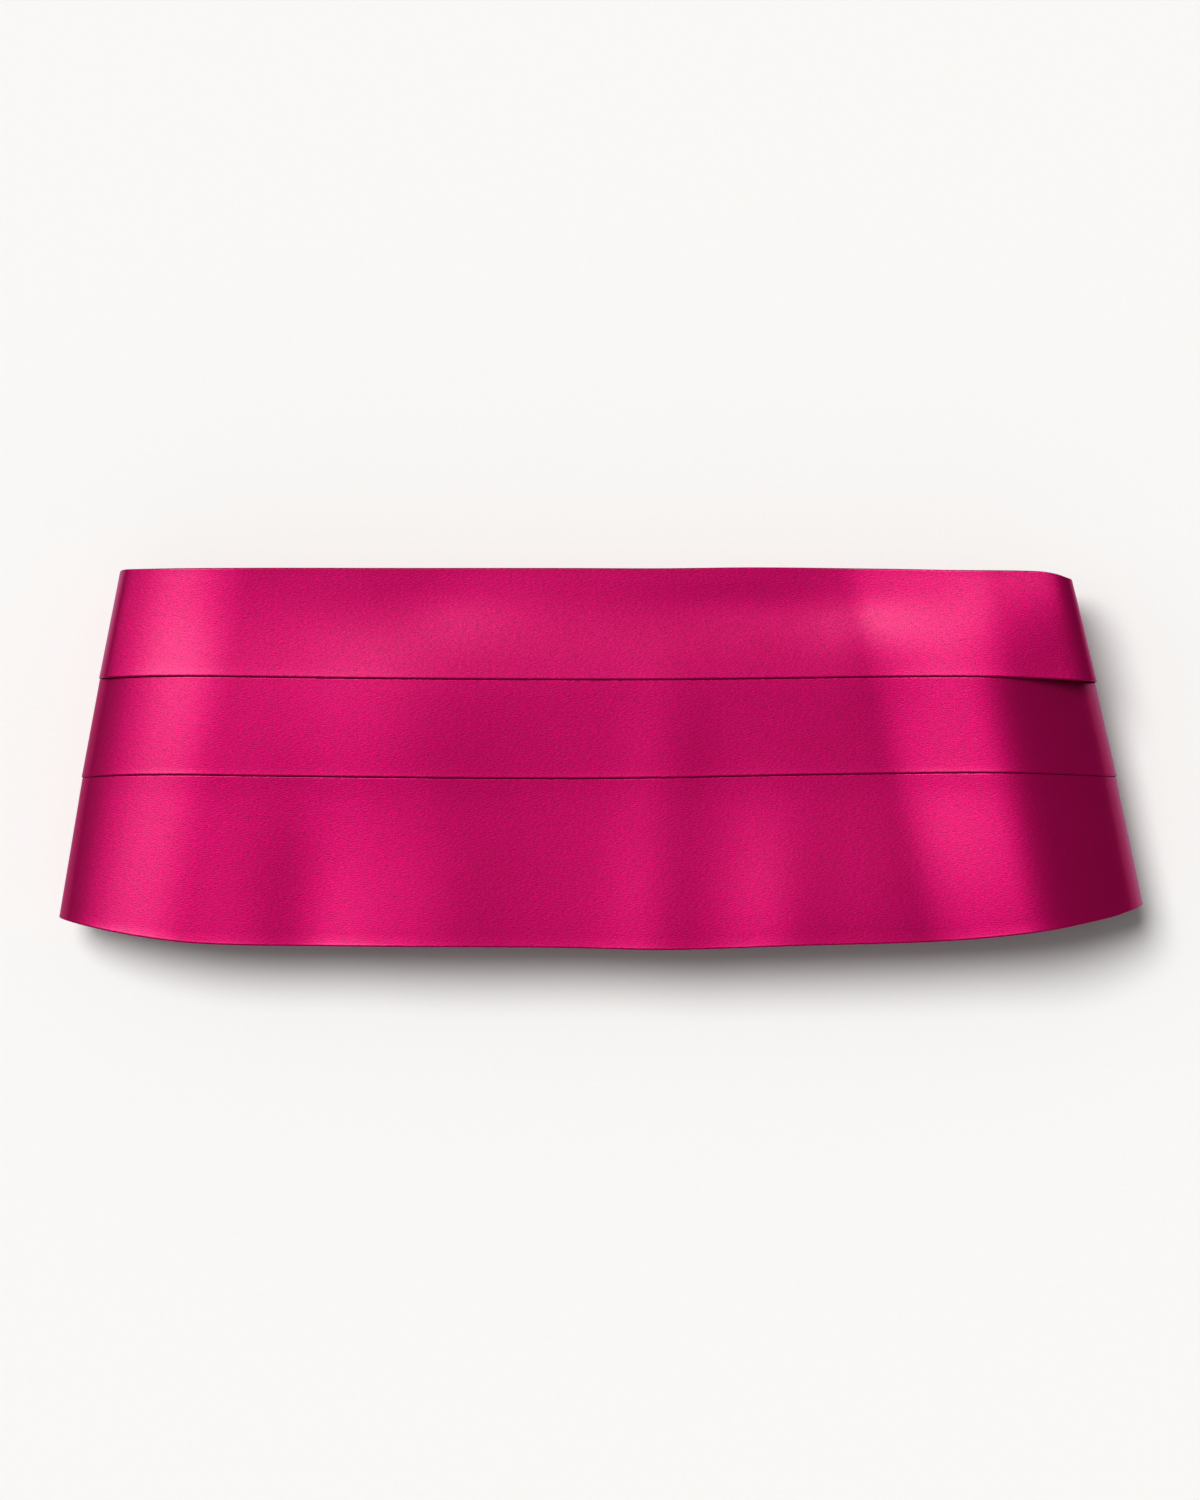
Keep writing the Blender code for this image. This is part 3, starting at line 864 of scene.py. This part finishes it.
def grid(bm: bmesh.types.BMesh, columns: int, rows: int) -> dict[bmesh.types.BMVert, tuple[int, int]]:
    """Adds a grid of faces, whose vertices still have to be placed.

    Args:
        bm: where it goes.
        columns: how many faces it has along X.
        rows: how many it has along Y.

    Returns:
        The column and the row that each vertex is on.
    """
    bmesh.ops.create_grid(bm, x_segments=columns, y_segments=rows, size=1.0)
    return {
        vert: (round((vert.co.x + 1) * columns / 2), round((vert.co.y + 1) * rows / 2)) for vert in bm.verts
    }


def round_edges(piece: bpy.types.Object, name: str, past: float) -> None:
    """Rounds the edges of a piece.

    Args:
        piece: the piece.
        name: the modifier's name.
        past: the turn in degrees past which an edge is rounded.
    """
    rounding = piece.modifiers.new(name, "BEVEL")
    rounding.width = EDGE_ROUND
    rounding.segments = 3
    rounding.limit_method = "ANGLE"
    rounding.angle_limit = math.radians(past)


def enter(piece: bpy.types.Object, node: str | None = None) -> None:
    """Puts a piece on the part's body.

    Args:
        piece: the piece.
        node: the node whose place it takes, if it takes one.
    """
    if node:
        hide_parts(node)
    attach(piece, "root")


@dataclass
class Sheet:
    """A thin sheet of cloth through rows of points, with its flat place kept for the weave."""

    name: str
    points: list[list[Vector]]
    cloth: list[list[Point]]
    thickness: float
    material: bpy.types.Material

    def build(self) -> bpy.types.Object:
        """Makes the sheet and gives it its thickness.

        Returns:
            The piece, with the cloth's flat place in its UV map, in metres.
        """
        bm = bmesh.new()
        uv = bm.loops.layers.uv.new("cloth")
        spots = grid(bm, len(self.points[0]) - 1, len(self.points) - 1)
        for vert, (column, row) in spots.items():
            vert.co = self.points[row][column]
        for face in bm.faces:
            for loop in face.loops:
                column, row = spots[loop.vert]
                loop[uv].uv = self.cloth[row][column]
        piece = finish_mesh(self.name, bm, self.material)
        wall = piece.modifiers.new("cloth thickness", "SOLIDIFY")
        wall.thickness = self.thickness
        wall.offset = 0.0
        wall.use_even_offset = True
        wall.use_quality_normals = True
        return piece

    def declare(self, piece: bpy.types.Object, node: str, rests_on: str) -> None:
        """Args:
            piece: the sheet as it was built.
            node: the node.
            rests_on: the piece that carries it; not used.
        """
        width, length = self.cut_size()
        enter(piece, node)
        self.cut_area()
        log.info("%s: cut %.3f by %.3f m, area %.4f m2", node, width, length, self.cut_area())

    def cut_area(self) -> float:
        """Adds up the flat cut.

        Returns:
            Its area.
        """
        total = 0.0
        for low, high in zip(self.cloth, self.cloth[1:]):
            for (ax, ay), (bx, by), (dx, dy), (cx, cy) in zip(low, low[1:], high, high[1:]):
                total += abs((cx - ax) * (dy - by) - (dx - bx) * (cy - ay)) / 2
        return total

    def cut_size(self) -> tuple[float, float]:
        """Measures the rectangle that the piece is cut from.

        Returns:
            Its width and length.
        """
        flat = [point for row in self.cloth for point in row]
        along = [point[0] for point in flat]
        depth = [point[1] for point in flat]
        return max(depth) - min(depth), max(along) - min(along)


@dataclass
class Pleats:
    """The three pleats, which overlap downwards, each with its fold and its return behind.

    A section is a line of depths below the top edge and layers out from the sash's inner side.
    """

    panel: Panel
    satin: bpy.types.Material
    thickness: float = 0.30 * MM
    gap: float = 0.10 * MM
    fold_radius: float = 0.32 * MM
    bead: float = 0.05 * MM
    outer: float = 3.55 * MM
    edge: float = 2.20 * MM
    shoulder_drop: float = 0.55 * MM
    shoulder_radius: float = 0.25 * MM
    tuck_turn: float = math.radians(60)
    turn_in: float = 10.0 * MM
    return_depth: float = 12.0 * MM
    tuck_depth: float = 10.0 * MM
    tuck_step: float = 0.02 * MM
    face_steps: int = 14
    face_from: float = 0.12 * MM
    face_ends: tuple = (0.8 * MM, 0.25 * MM)
    bead_share: float = 0.7

    def fold_round(self, edge: float, proud: float, towards: int) -> list[Point]:
        """Bends the cloth half a turn at a pleat's edge, from its face to the layer behind.

        Args:
            edge: depth of the edge.
            proud: layer of the face.
            towards: 1 for a lower edge, -1 for an upper one.

        Returns:
            The section of the turn.
        """
        down = edge - towards * self.fold_radius
        turns = [math.radians(a) for a in range(0, 181, 30)]
        return [
            (down + towards * self.fold_radius * math.sin(a), proud - self.fold_radius * (1 - math.cos(a)))
            for a in turns
        ]

    def face(self, start: float, end: float, low: float, high: float) -> list[Point]:
        """Draws the open face of a pleat.

        Args:
            start: depth where it starts.
            end: depth where it ends.
            low: layer that it starts on.
            high: layer that it ends on.

        Returns:
            The section of the face, with close rows at its end that keep the fold crisp.
        """
        shares = [k / self.face_steps for k in range(1, self.face_steps)]
        rows = [(start + self.face_from, low)]
        rows += [(between(start, end, s), between(low, high, s)) for s in shares]
        outer, inner = self.face_ends
        return rows + [(end - outer, high), (end - inner, high + self.bead_share * self.bead)]

    def returned(self, edge: float, proud: float, depth: float, towards: int) -> list[Point]:
        """The layer behind a fold, up to its cut edge."""
        shares = (0.33, 0.66, 1.0)
        return [(edge - towards * between(2 * self.fold_radius, depth, s), proud) for s in shares]

    def top_section(self, station: Station) -> list[Point]:
        """Draws the upper pleat: its turned-in top edge, face, fold and return.

        Args:
            station: where along the sash.

        Returns:
            The section.
        """
        fold = station.folds[0]
        edge = between(self.edge, self.outer, station.tail)
        line = self.returned(0.0, edge - 2 * self.fold_radius, self.turn_in, -1)[::-1]
        line += self.fold_round(0.0, edge, -1)[::-1]
        line += self.face(self.fold_radius, fold - self.fold_radius, edge, self.outer)
        line += self.fold_round(fold, self.outer + self.bead, 1)
        line += self.returned(fold, self.outer - 2 * self.fold_radius, self.return_depth, 1)
        return line

    def lower_section(
        self, station: Station, upper_fold: float, edge: float, face_layer: float, return_depth: float
    ) -> list[Point]:
        """A pleat tucked behind the one above, down to its own edge and back up behind.

        Args:
            station: where along the sash.
            upper_fold: depth of the fold above.
            edge: depth of this pleat's own edge.
            face_layer: layer of the face at its edge.
            return_depth: how far the layer behind goes up.

        Returns:
            The section.
        """
        shoulder = between(self.outer - self.shoulder_drop, self.outer, station.tail)
        centre = upper_fold - self.fold_radius
        radius = self.fold_radius + self.thickness + self.gap
        tucked = self.outer - self.fold_radius - radius
        line = [(upper_fold - self.tuck_depth, tucked), (upper_fold - 0.5 * self.tuck_depth, tucked)]
        for share in (0.0, 0.33, 0.67, 1.0):
            turn = self.tuck_turn * share
            line.append((centre + radius * math.sin(turn), tucked + radius * (1 - math.cos(turn))))
        rise = self.shoulder_radius * (1 - math.cos(self.tuck_turn))
        climb = (shoulder - rise - line[-1][1]) / math.tan(self.tuck_turn)
        down = line[-1][0] + max(self.tuck_step, climb)
        for share in (1.0, 0.67, 0.33, 0.0):
            turn = self.tuck_turn * share
            ahead = self.shoulder_radius * (math.sin(self.tuck_turn) - math.sin(turn))
            line.append((down + ahead, shoulder - self.shoulder_radius * (1 - math.cos(turn))))
        line += self.face(line[-1][0], edge - self.fold_radius, shoulder, face_layer)
        line += self.fold_round(edge, face_layer + self.bead, 1)
        line += self.returned(edge, face_layer - 2 * self.fold_radius, return_depth, 1)
        return line

    def middle_section(self, station: Station) -> list[Point]:
        """The pleat between the two folds."""
        return self.lower_section(station, *station.folds, self.outer, self.return_depth)

    def bottom_section(self, station: Station) -> list[Point]:
        """The pleat below the second fold, with its turned hem."""
        hem = between(self.edge, self.outer, station.tail)
        return self.lower_section(station, station.folds[1], station.depth, hem, self.turn_in)

    def sheet(self, name: str, section: Callable[[Station], list[Point]], stiffness: float) -> Sheet:
        """Lays one pleat along the sash, with its cloth flat down its section.

        Args:
            name: the piece's name.
            section: what draws the pleat's section at a station.
            stiffness: share of the top pleat's stand-off that it takes.

        Returns:
            The pleat's sheet.
        """
        points, cloth = [], []
        for station in self.panel.stations():
            line = section(station)
            flats = [station.flat(down) for down, _ in line]
            points.append(
                [self.panel.place(flat, proud, stiffness) for flat, (_, proud) in zip(flats, line)]
            )
            run, row = line[0][0], []
            for flat, here, before in zip(flats, line, [line[0]] + line[:-1]):
                run += math.dist(here, before)
                row.append((flat.x, -run))
            cloth.append(row)
        return Sheet(name, points, cloth, self.thickness, self.satin)

    def build(self) -> list[bpy.types.Object]:
        """Makes the three pleats, each in the place of its node.

        Returns:
            The pleats.
        """
        pieces = []
        sections = {
            "pleat_top": (self.top_section, 1.0, "satin_pleat_middle"),
            "pleat_middle": (self.middle_section, 0.0, "satin_pleat_bottom"),
            "pleat_bottom": (self.bottom_section, 0.0, "sewn_tab_left"),
        }
        for node, (section, stiffness, under) in sections.items():
            sheet = self.sheet("satin_" + node, section, stiffness)
            pieces.append(sheet.build())
            sheet.declare(pieces[-1], node, under)
        return pieces


@dataclass
class Stitching:
    """Rows of stitches, each a spindle of thread sunk in the cloth at both ends."""

    name: str
    thread: bpy.types.Material
    length: float = 2.3 * MM
    pitch: float = 3.1 * MM
    tack_pitch: float = 0.42 * MM
    width: float = 0.34 * MM
    height: float = 0.26 * MM

    def __post_init__(self) -> None:
        """Starts with no stitches."""
        self.bm = bmesh.new()

    def stitch(self, point: Vector, forward: Vector, facing: Vector) -> None:
        """Adds one stitch.

        Args:
            point: its middle, on the cloth.
            forward: the direction that it lies along.
            facing: the direction that the cloth faces.
        """
        across = facing.cross(forward)
        sizes = (0.5 * self.length, 0.5 * self.width, 0.5 * self.height)
        columns = [axis * size for axis, size in zip((forward, across, facing), sizes)]
        turn = Matrix([[columns[c][r] for c in range(3)] for r in range(3)]).to_4x4()
        bmesh.ops.create_uvsphere(
            self.bm, u_segments=6, v_segments=4, radius=1.0, matrix=Matrix.Translation(point) @ turn
        )

    def row(self, start: Vector, end: Vector, facing: Vector, tack: bool = False) -> None:
        """Adds a straight row of stitches, or a bar tack of close ones laid across the row.

        Args:
            start: where the row starts, on the cloth.
            end: where it ends.
            facing: the direction that the cloth faces.
            tack: whether it is a bar tack.
        """
        run = (end - start).length
        forward = (end - start) / run
        pitch = self.tack_pitch if tack else self.pitch
        count = max(1, int(run / pitch))
        for k in range(count):
            point = between(start, end, (k + 0.5) / count)
            self.stitch(point, facing.cross(forward) if tack else forward, facing)

    def build(self) -> bpy.types.Object:
        """Makes the rows one piece.

        Returns:
            The piece.
        """
        piece = finish_mesh(self.name, self.bm, self.thread)
        enter(piece)
        return piece


@dataclass
class EndTab:
    """A folded tab that binds one end of the panel, stitched through near its mouth."""

    side: Side
    panel: Panel
    satin: bpy.types.Material
    thread: bpy.types.Material
    depth: float = 10.0 * MM
    thickness: float = 0.35 * MM
    low: float = 0.35 * MM
    high: float = 5.95 * MM
    layer: float = 0.50 * MM
    face: float = 0.80 * MM
    corner: float = 0.80 * MM
    turn_in: float = 6.0 * MM
    lip: float = 1.0 * MM
    past_edge: float = 0.6 * MM
    stitch_in: float = 2.4 * MM
    stitch_ends: float = 1.0 * MM
    columns: int = 24

    def path(self) -> list[Point]:
        """Draws the tab's section, from one turned-in mouth round the panel's end to the other.

        Returns:
            Distances from the sash's middle, and heights.
        """
        lying = self.panel.lying
        mouth = lying.tail_end + self.depth - 0.5 * self.layer
        bend = lying.tail_end - self.face + self.corner
        half = 0.5 * self.layer
        path = [(mouth - self.turn_in, self.low + self.layer), (mouth - self.lip, self.low + self.layer)]
        path += arc((mouth, self.low + half), half, 90, -90, 6)
        path += [(between(mouth, bend, s), self.low) for s in QUARTERS]
        path += arc((bend, self.low + self.corner), self.corner, 270, 180, 5)
        path += arc((bend, self.high - self.corner), self.corner, 180, 90, 5)
        path += [(between(bend, mouth, s), self.high) for s in QUARTERS]
        path += arc((mouth, self.high - half), half, 90, -90, 6)
        path += [(mouth - self.lip, self.high - self.layer), (mouth - self.turn_in, self.high - self.layer)]
        return path

    def edge_lines(self) -> list[Point]:
        """Finds the tab's lower and upper edges from the panel's own.

        Returns:
            The height of each at the panel's end, and its slope past there.
        """
        before, last = self.panel.side_stations(self.side)[-2:]
        edges = [(last.hem, before.hem, -self.past_edge), (last.top, before.top, self.past_edge)]
        lines = []
        for end_flat, inner_flat, margin in edges:
            end, inner = self.panel.place(end_flat, 0.0), self.panel.place(inner_flat, 0.0)
            lines.append((end.y - self.panel.shift.y + margin, (inner.y - end.y) / abs(inner.x - end.x)))
        return lines

    def build(self) -> list[bpy.types.Object]:
        """Makes the tab and its two rows of stitches.

        Returns:
            The tab and its stitches.
        """
        name = self.side.name.lower()
        sign, lying = self.side.value, self.panel.lying
        lines = self.edge_lines()
        path = self.path()
        points, cloth, run = [], [], 0.0
        for (x, z), before in zip(path, [path[0]] + path[:-1]):
            past = max(0.0, x - lying.tail_end)
            low, high = (height + slope * past for height, slope in lines)
            ys = [between(low, high, k / self.columns) for k in range(self.columns + 1)]
            run += math.dist((x, z), before)
            points.append([Vector((sign * x, y, z)) + self.panel.shift for y in ys])
            cloth.append([(y, run) for y in ys])
        sheet = Sheet("sewn_tab_" + name, points, cloth, self.thickness, self.satin)
        tab = sheet.build()
        sheet.declare(tab, "end_tab_" + name, "satin_pleat_bottom")
        rows = Stitching("tab_stitches_" + name, self.thread)
        past = self.depth - self.stitch_in
        low, high = (height + slope * past for height, slope in lines)
        half = 0.5 * self.thickness
        for level, up in ((self.low - half, -1.0), (self.high + half, 1.0)):
            spots = [
                Vector((sign * (lying.tail_end + past), y, level)) + self.panel.shift
                for y in (low + self.stitch_ends, high - self.stitch_ends)
            ]
            rows.row(*spots, Vector((0.0, 0.0, up)))
        return [tab, rows.build()]


@dataclass
class Strap:
    """A flat strap of doubled satin from a tab, round a bar and back over itself to a tack.

    Past the bar it falls at the places "fall_at" and lies flat from the first of "lie_at", in mm.
    """

    side: Side
    shift: Vector
    satin: bpy.types.Material
    thread: bpy.types.Material
    bar: Point
    radius: float
    rests_on: str
    middle: float = -18.0 * MM
    width: float = 28.0 * MM
    thickness: float = 0.80 * MM
    start: float = 58.6 * MM
    rise_start: float = 46.0 * MM
    rise_end: float = 55.0 * MM
    rise: float = 3.15 * MM
    rest: float = 0.50 * MM
    back: float = 1.85 * MM
    fall_at: tuple = (1.0, 3.0, 4.5, 6.0, 7.5, 9.0)
    lie_at: tuple = (10.0, 14.0, 18.0)
    edge_stitch: float = 1.8 * MM
    stitch_past_bar: float = 3.0 * MM
    tack_from_end: float = 1.6 * MM
    tack_apart: float = 4.0 * MM
    tack_from_edge: float = 3.0 * MM
    rise_steps: int = 8
    columns: int = 16

    def path(self) -> list[Point]:
        """Draws the strap's middle line, from the tab to its sewn end.

        Returns:
            Places across, and heights.
        """
        sign = self.side.value
        outer = [(self.start, self.rise)]
        for share in (k / self.rise_steps for k in range(self.rise_steps + 1)):
            across = between(self.rise_end, self.rise_start, share)
            outer.append((across, between(self.rise, self.rest, smooth(share))))
        outer += [(between(self.rise_start, abs(self.bar[0]), s), self.rest) for s in QUARTERS]
        path = [(sign * x, z) for x, z in outer]
        path += arc(self.bar, self.radius, 270, 450 if self.side is Side.LEFT else 90, 14)
        x, z = path[-1]
        for ahead in self.fall_at:
            share = (ahead - self.fall_at[0]) / (self.lie_at[0] - self.fall_at[0])
            path.append((x + sign * ahead * MM, z - (z - self.back) * smooth(share)))
        path += [(x + sign * ahead * MM, self.back) for ahead in self.lie_at]
        return path

    def build(self) -> list[bpy.types.Object]:
        """Makes the strap, its edge stitches and its bar tacks.

        Returns:
            The strap and its stitches.
        """
        name, sign = self.side.name.lower(), self.side.value
        low = self.middle - 0.5 * self.width
        ys = [low + self.width * k / self.columns for k in range(self.columns + 1)]
        path = self.path()
        points, cloth, run = [], [], 0.0
        for here, before in zip(path, [path[0]] + path[:-1]):
            run += math.dist(here, before)
            points.append([Vector((here[0], y, here[1])) + self.shift for y in ys])
            cloth.append([(run, y) for y in ys])
        sheet = Sheet("satin_strap_" + name, points, cloth, self.thickness, self.satin)
        strap = sheet.build()
        round_edges(strap, "rounded edges", 60)
        sheet.declare(strap, "strap_" + name, self.rests_on)
        half = 0.5 * self.thickness
        rows = Stitching("strap_stitches_" + name, self.thread)
        reach = (self.rise_start, abs(self.bar[0]) + self.stitch_past_bar)
        for y in (ys[0] + self.edge_stitch, ys[-1] - self.edge_stitch):
            spots = [Vector((sign * x, y, self.rest - half)) + self.shift for x in reach]
            rows.row(*spots, Vector((0.0, 0.0, -1.0)))
        tack = path[-1][0] - sign * self.tack_from_end
        tack_ends = (ys[0] + self.tack_from_edge, ys[-1] - self.tack_from_edge)
        for x in (tack, tack - sign * self.tack_apart):
            spots = [Vector((x, y, self.back + half)) + self.shift for y in tack_ends]
            rows.row(*spots, Vector((0.0, 0.0, 1.0)), tack=True)
        return [strap, rows.build()]


@dataclass
class Hook:
    """A stamped plate with a slot for its strap and a tongue that turns down round the ring.

    The plate's lines "xs" and "ys" and the points of its neck are in mm.
    """

    shift: Vector
    steel: bpy.types.Material
    middle: float = -18.0 * MM
    sheet: float = 1.2 * MM
    level: float = 2.0 * MM
    xs: tuple = (-9.0, 1.0, 5.5, 8.0)
    ys: tuple = (-17.5, -14.8, -7.5, 7.5, 14.8, 17.5)
    neck: tuple = ((-11.0, 2.6), (-13.5, 3.7), (-15.4, 4.15))
    ring: Point = (-17.0 * MM, 2.3 * MM)
    tongue_radius: float = 1.9 * MM
    tongue_turn: float = 130.0
    corner: float = 2.0 * MM

    def build(self) -> list[bpy.types.Object]:
        """Makes the hook, with rounded edges.

        Returns:
            The hook.
        """
        bm = bmesh.new()
        columns, rows = len(self.xs) - 1, len(self.ys) - 1
        place = {}
        for vert, (column, row) in grid(bm, columns, rows).items():
            vert.co = (self.xs[column] * MM, self.ys[row] * MM + self.middle, self.level)
            place[(column, row)] = vert
        slot = [
            face
            for face in bm.faces
            if self.xs[1] < face.calc_center_median().x / MM < self.xs[2]
            and abs(face.calc_center_median().y - self.middle) < self.ys[4] * MM
        ]
        bmesh.ops.delete(bm, geom=slot, context="FACES")
        tongue = [(x * MM, z * MM) for x, z in self.neck]
        tongue += arc(self.ring, self.tongue_radius, 90, 90 + self.tongue_turn, 12)
        edge = next(e for e in bm.edges if set(e.verts) == {place[(0, 2)], place[(0, 3)]})
        for x, z in tongue:
            grown = bmesh.ops.extrude_edge_only(bm, edges=[edge])["geom"]
            edge = next(part for part in grown if isinstance(part, bmesh.types.BMEdge) and part.is_boundary)
            for vert in edge.verts:
                vert.co.x, vert.co.z = x, z
        ends = [place[spot] for spot in ((0, 0), (0, rows), (columns, 0), (columns, rows))]
        ends += list(edge.verts)
        bmesh.ops.bevel(
            bm, geom=ends, offset=self.corner, segments=5, profile=0.5, affect="VERTICES", material=-1
        )
        bmesh.ops.recalc_face_normals(bm, faces=bm.faces)
        bmesh.ops.translate(bm, vec=self.shift, verts=bm.verts)
        hook = finish_mesh("steel_hook", bm, self.steel)
        wall = hook.modifiers.new("sheet", "SOLIDIFY")
        wall.thickness = self.sheet
        wall.offset = 0.0
        wall.use_even_offset = True
        round_edges(hook, "tumbled edges", 50)
        enter(hook, "strap_hook")
        return [hook]


@dataclass
class Studio:
    """The photograph's camera straight above, soft light from the upper left, and a pale floor."""

    camera_distance: float = 1392.5 * MM
    lens: float = 100.0
    sensor: float = 36.0
    camera_sees: float = 20.0
    centre: Point = (-0.32 * MM, 2.82 * MM)
    key_strength: float = 2.96
    key_angle: float = math.radians(28)
    key_from: Triple = (-0.34, 0.38, 1.0)
    side_strength: float = 0.13
    side_angle: float = math.radians(16)
    side_from: Triple = (-0.42, 0.06, 1.0)
    fill_strength: float = 0.29
    fill_angle: float = math.radians(60)
    fill_from: Triple = (-0.95, 0.35, 1.0)
    ambient: float = 0.16
    tint: Triple = (1.0, 0.998, 0.992)
    floor_reach: float = 6.0
    floor_below: float = 0.2 * MM

    def camera(self, lying: Lying) -> None:
        """Hangs the camera, looking straight down with the top edge upwards.

        Args:
            lying: the levels of the sash.
        """
        data = bpy.data.cameras.new("camera")
        data.sensor_width = self.sensor
        data.lens = self.lens
        data.clip_end = self.camera_sees
        camera = bpy.data.objects.new("camera", data)
        camera.location = (self.centre[0], self.centre[1], lying.height + self.camera_distance)
        bpy.context.scene.collection.objects.link(camera)
        bpy.context.scene.camera = camera

    def shine(self, name: str, strength: float, angle: float, towards: Triple) -> None:
        """Hangs one distant round softbox.

        Args:
            name: the light's name.
            strength: how strong it is.
            angle: how wide it looks from the sash.
            towards: the direction in which it is seen from there.
        """
        data = bpy.data.lights.new(name, "SUN")
        data.energy = strength
        data.angle = angle
        data.color = self.tint
        lamp = bpy.data.objects.new(name, data)
        lamp.rotation_mode = "QUATERNION"
        lamp.rotation_quaternion = Vector(towards).to_track_quat("Z", "Y")
        bpy.context.scene.collection.objects.link(lamp)

    def light(self) -> None:
        """A broad key light, a smaller one from the left, a low wide fill and an even ambient light."""
        self.shine("key", self.key_strength, self.key_angle, self.key_from)
        self.shine("side", self.side_strength, self.side_angle, self.side_from)
        self.shine("fill", self.fill_strength, self.fill_angle, self.fill_from)
        world = bpy.data.worlds.new("studio")
        world.use_nodes = True
        backdrop = world.node_tree.nodes["Background"]
        backdrop.inputs["Color"].default_value = (*self.tint, 1.0)
        backdrop.inputs["Strength"].default_value = self.ambient
        bpy.context.scene.world = world

    def floor(self) -> None:
        """A wide floor just under the sash."""
        bm = bmesh.new()
        bmesh.ops.create_grid(bm, x_segments=1, y_segments=1, size=self.floor_reach)
        bmesh.ops.translate(bm, vec=(0.0, 0.0, -self.floor_below), verts=bm.verts)
        finish_mesh("floor", bm, StudioFloor().material())

    def build(self, lying: Lying) -> None:
        """Sets up the whole studio.

        Args:
            lying: the levels of the sash.
        """
        bpy.context.scene.view_settings.view_transform = "Standard"
        bpy.context.scene.view_settings.look = "None"
        self.camera(lying)
        self.light()
        self.floor()


def main() -> None:
    """Loads the frame and builds every piece."""
    logging.basicConfig(level=logging.INFO, format="%(message)s")
    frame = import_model()
    log.info("frame: %d nodes", len(frame["nodes"]))
    low, high = (Vector(corner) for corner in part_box("strap_eye"))
    ring = 0.5 * (low + high)
    shift = Vector((ring.x - RING_PLACE[0], ring.y - RING_PLACE[1], 0.0))
    panel = Panel(shift)
    Studio().build(panel.lying)
    satin = Satin().material()
    thread = Thread().material()
    steel = PlatedSteel().material()
    sewn = {"shift": shift, "satin": satin, "thread": thread}
    eye_bar, hook_bar = (-28.0 * MM, 2.3 * MM), (5.45 * MM, 2.0 * MM)
    makers = [
        Pleats(panel, satin),
        EndTab(Side.LEFT, panel, satin, thread),
        EndTab(Side.RIGHT, panel, satin, thread),
        Hook(shift, steel),
        Strap(Side.LEFT, bar=eye_bar, radius=1.8 * MM, rests_on="strap_eye", **sewn),
        Strap(Side.RIGHT, bar=hook_bar, radius=1.5 * MM, rests_on="steel_hook", **sewn),
    ]
    for maker in makers:
        for piece in maker.build():
            log.info("built %s", piece.name)
    bpy.data.objects["strap_eye"].material_slots[0].material = steel


if __name__ == "__main__":
    main()
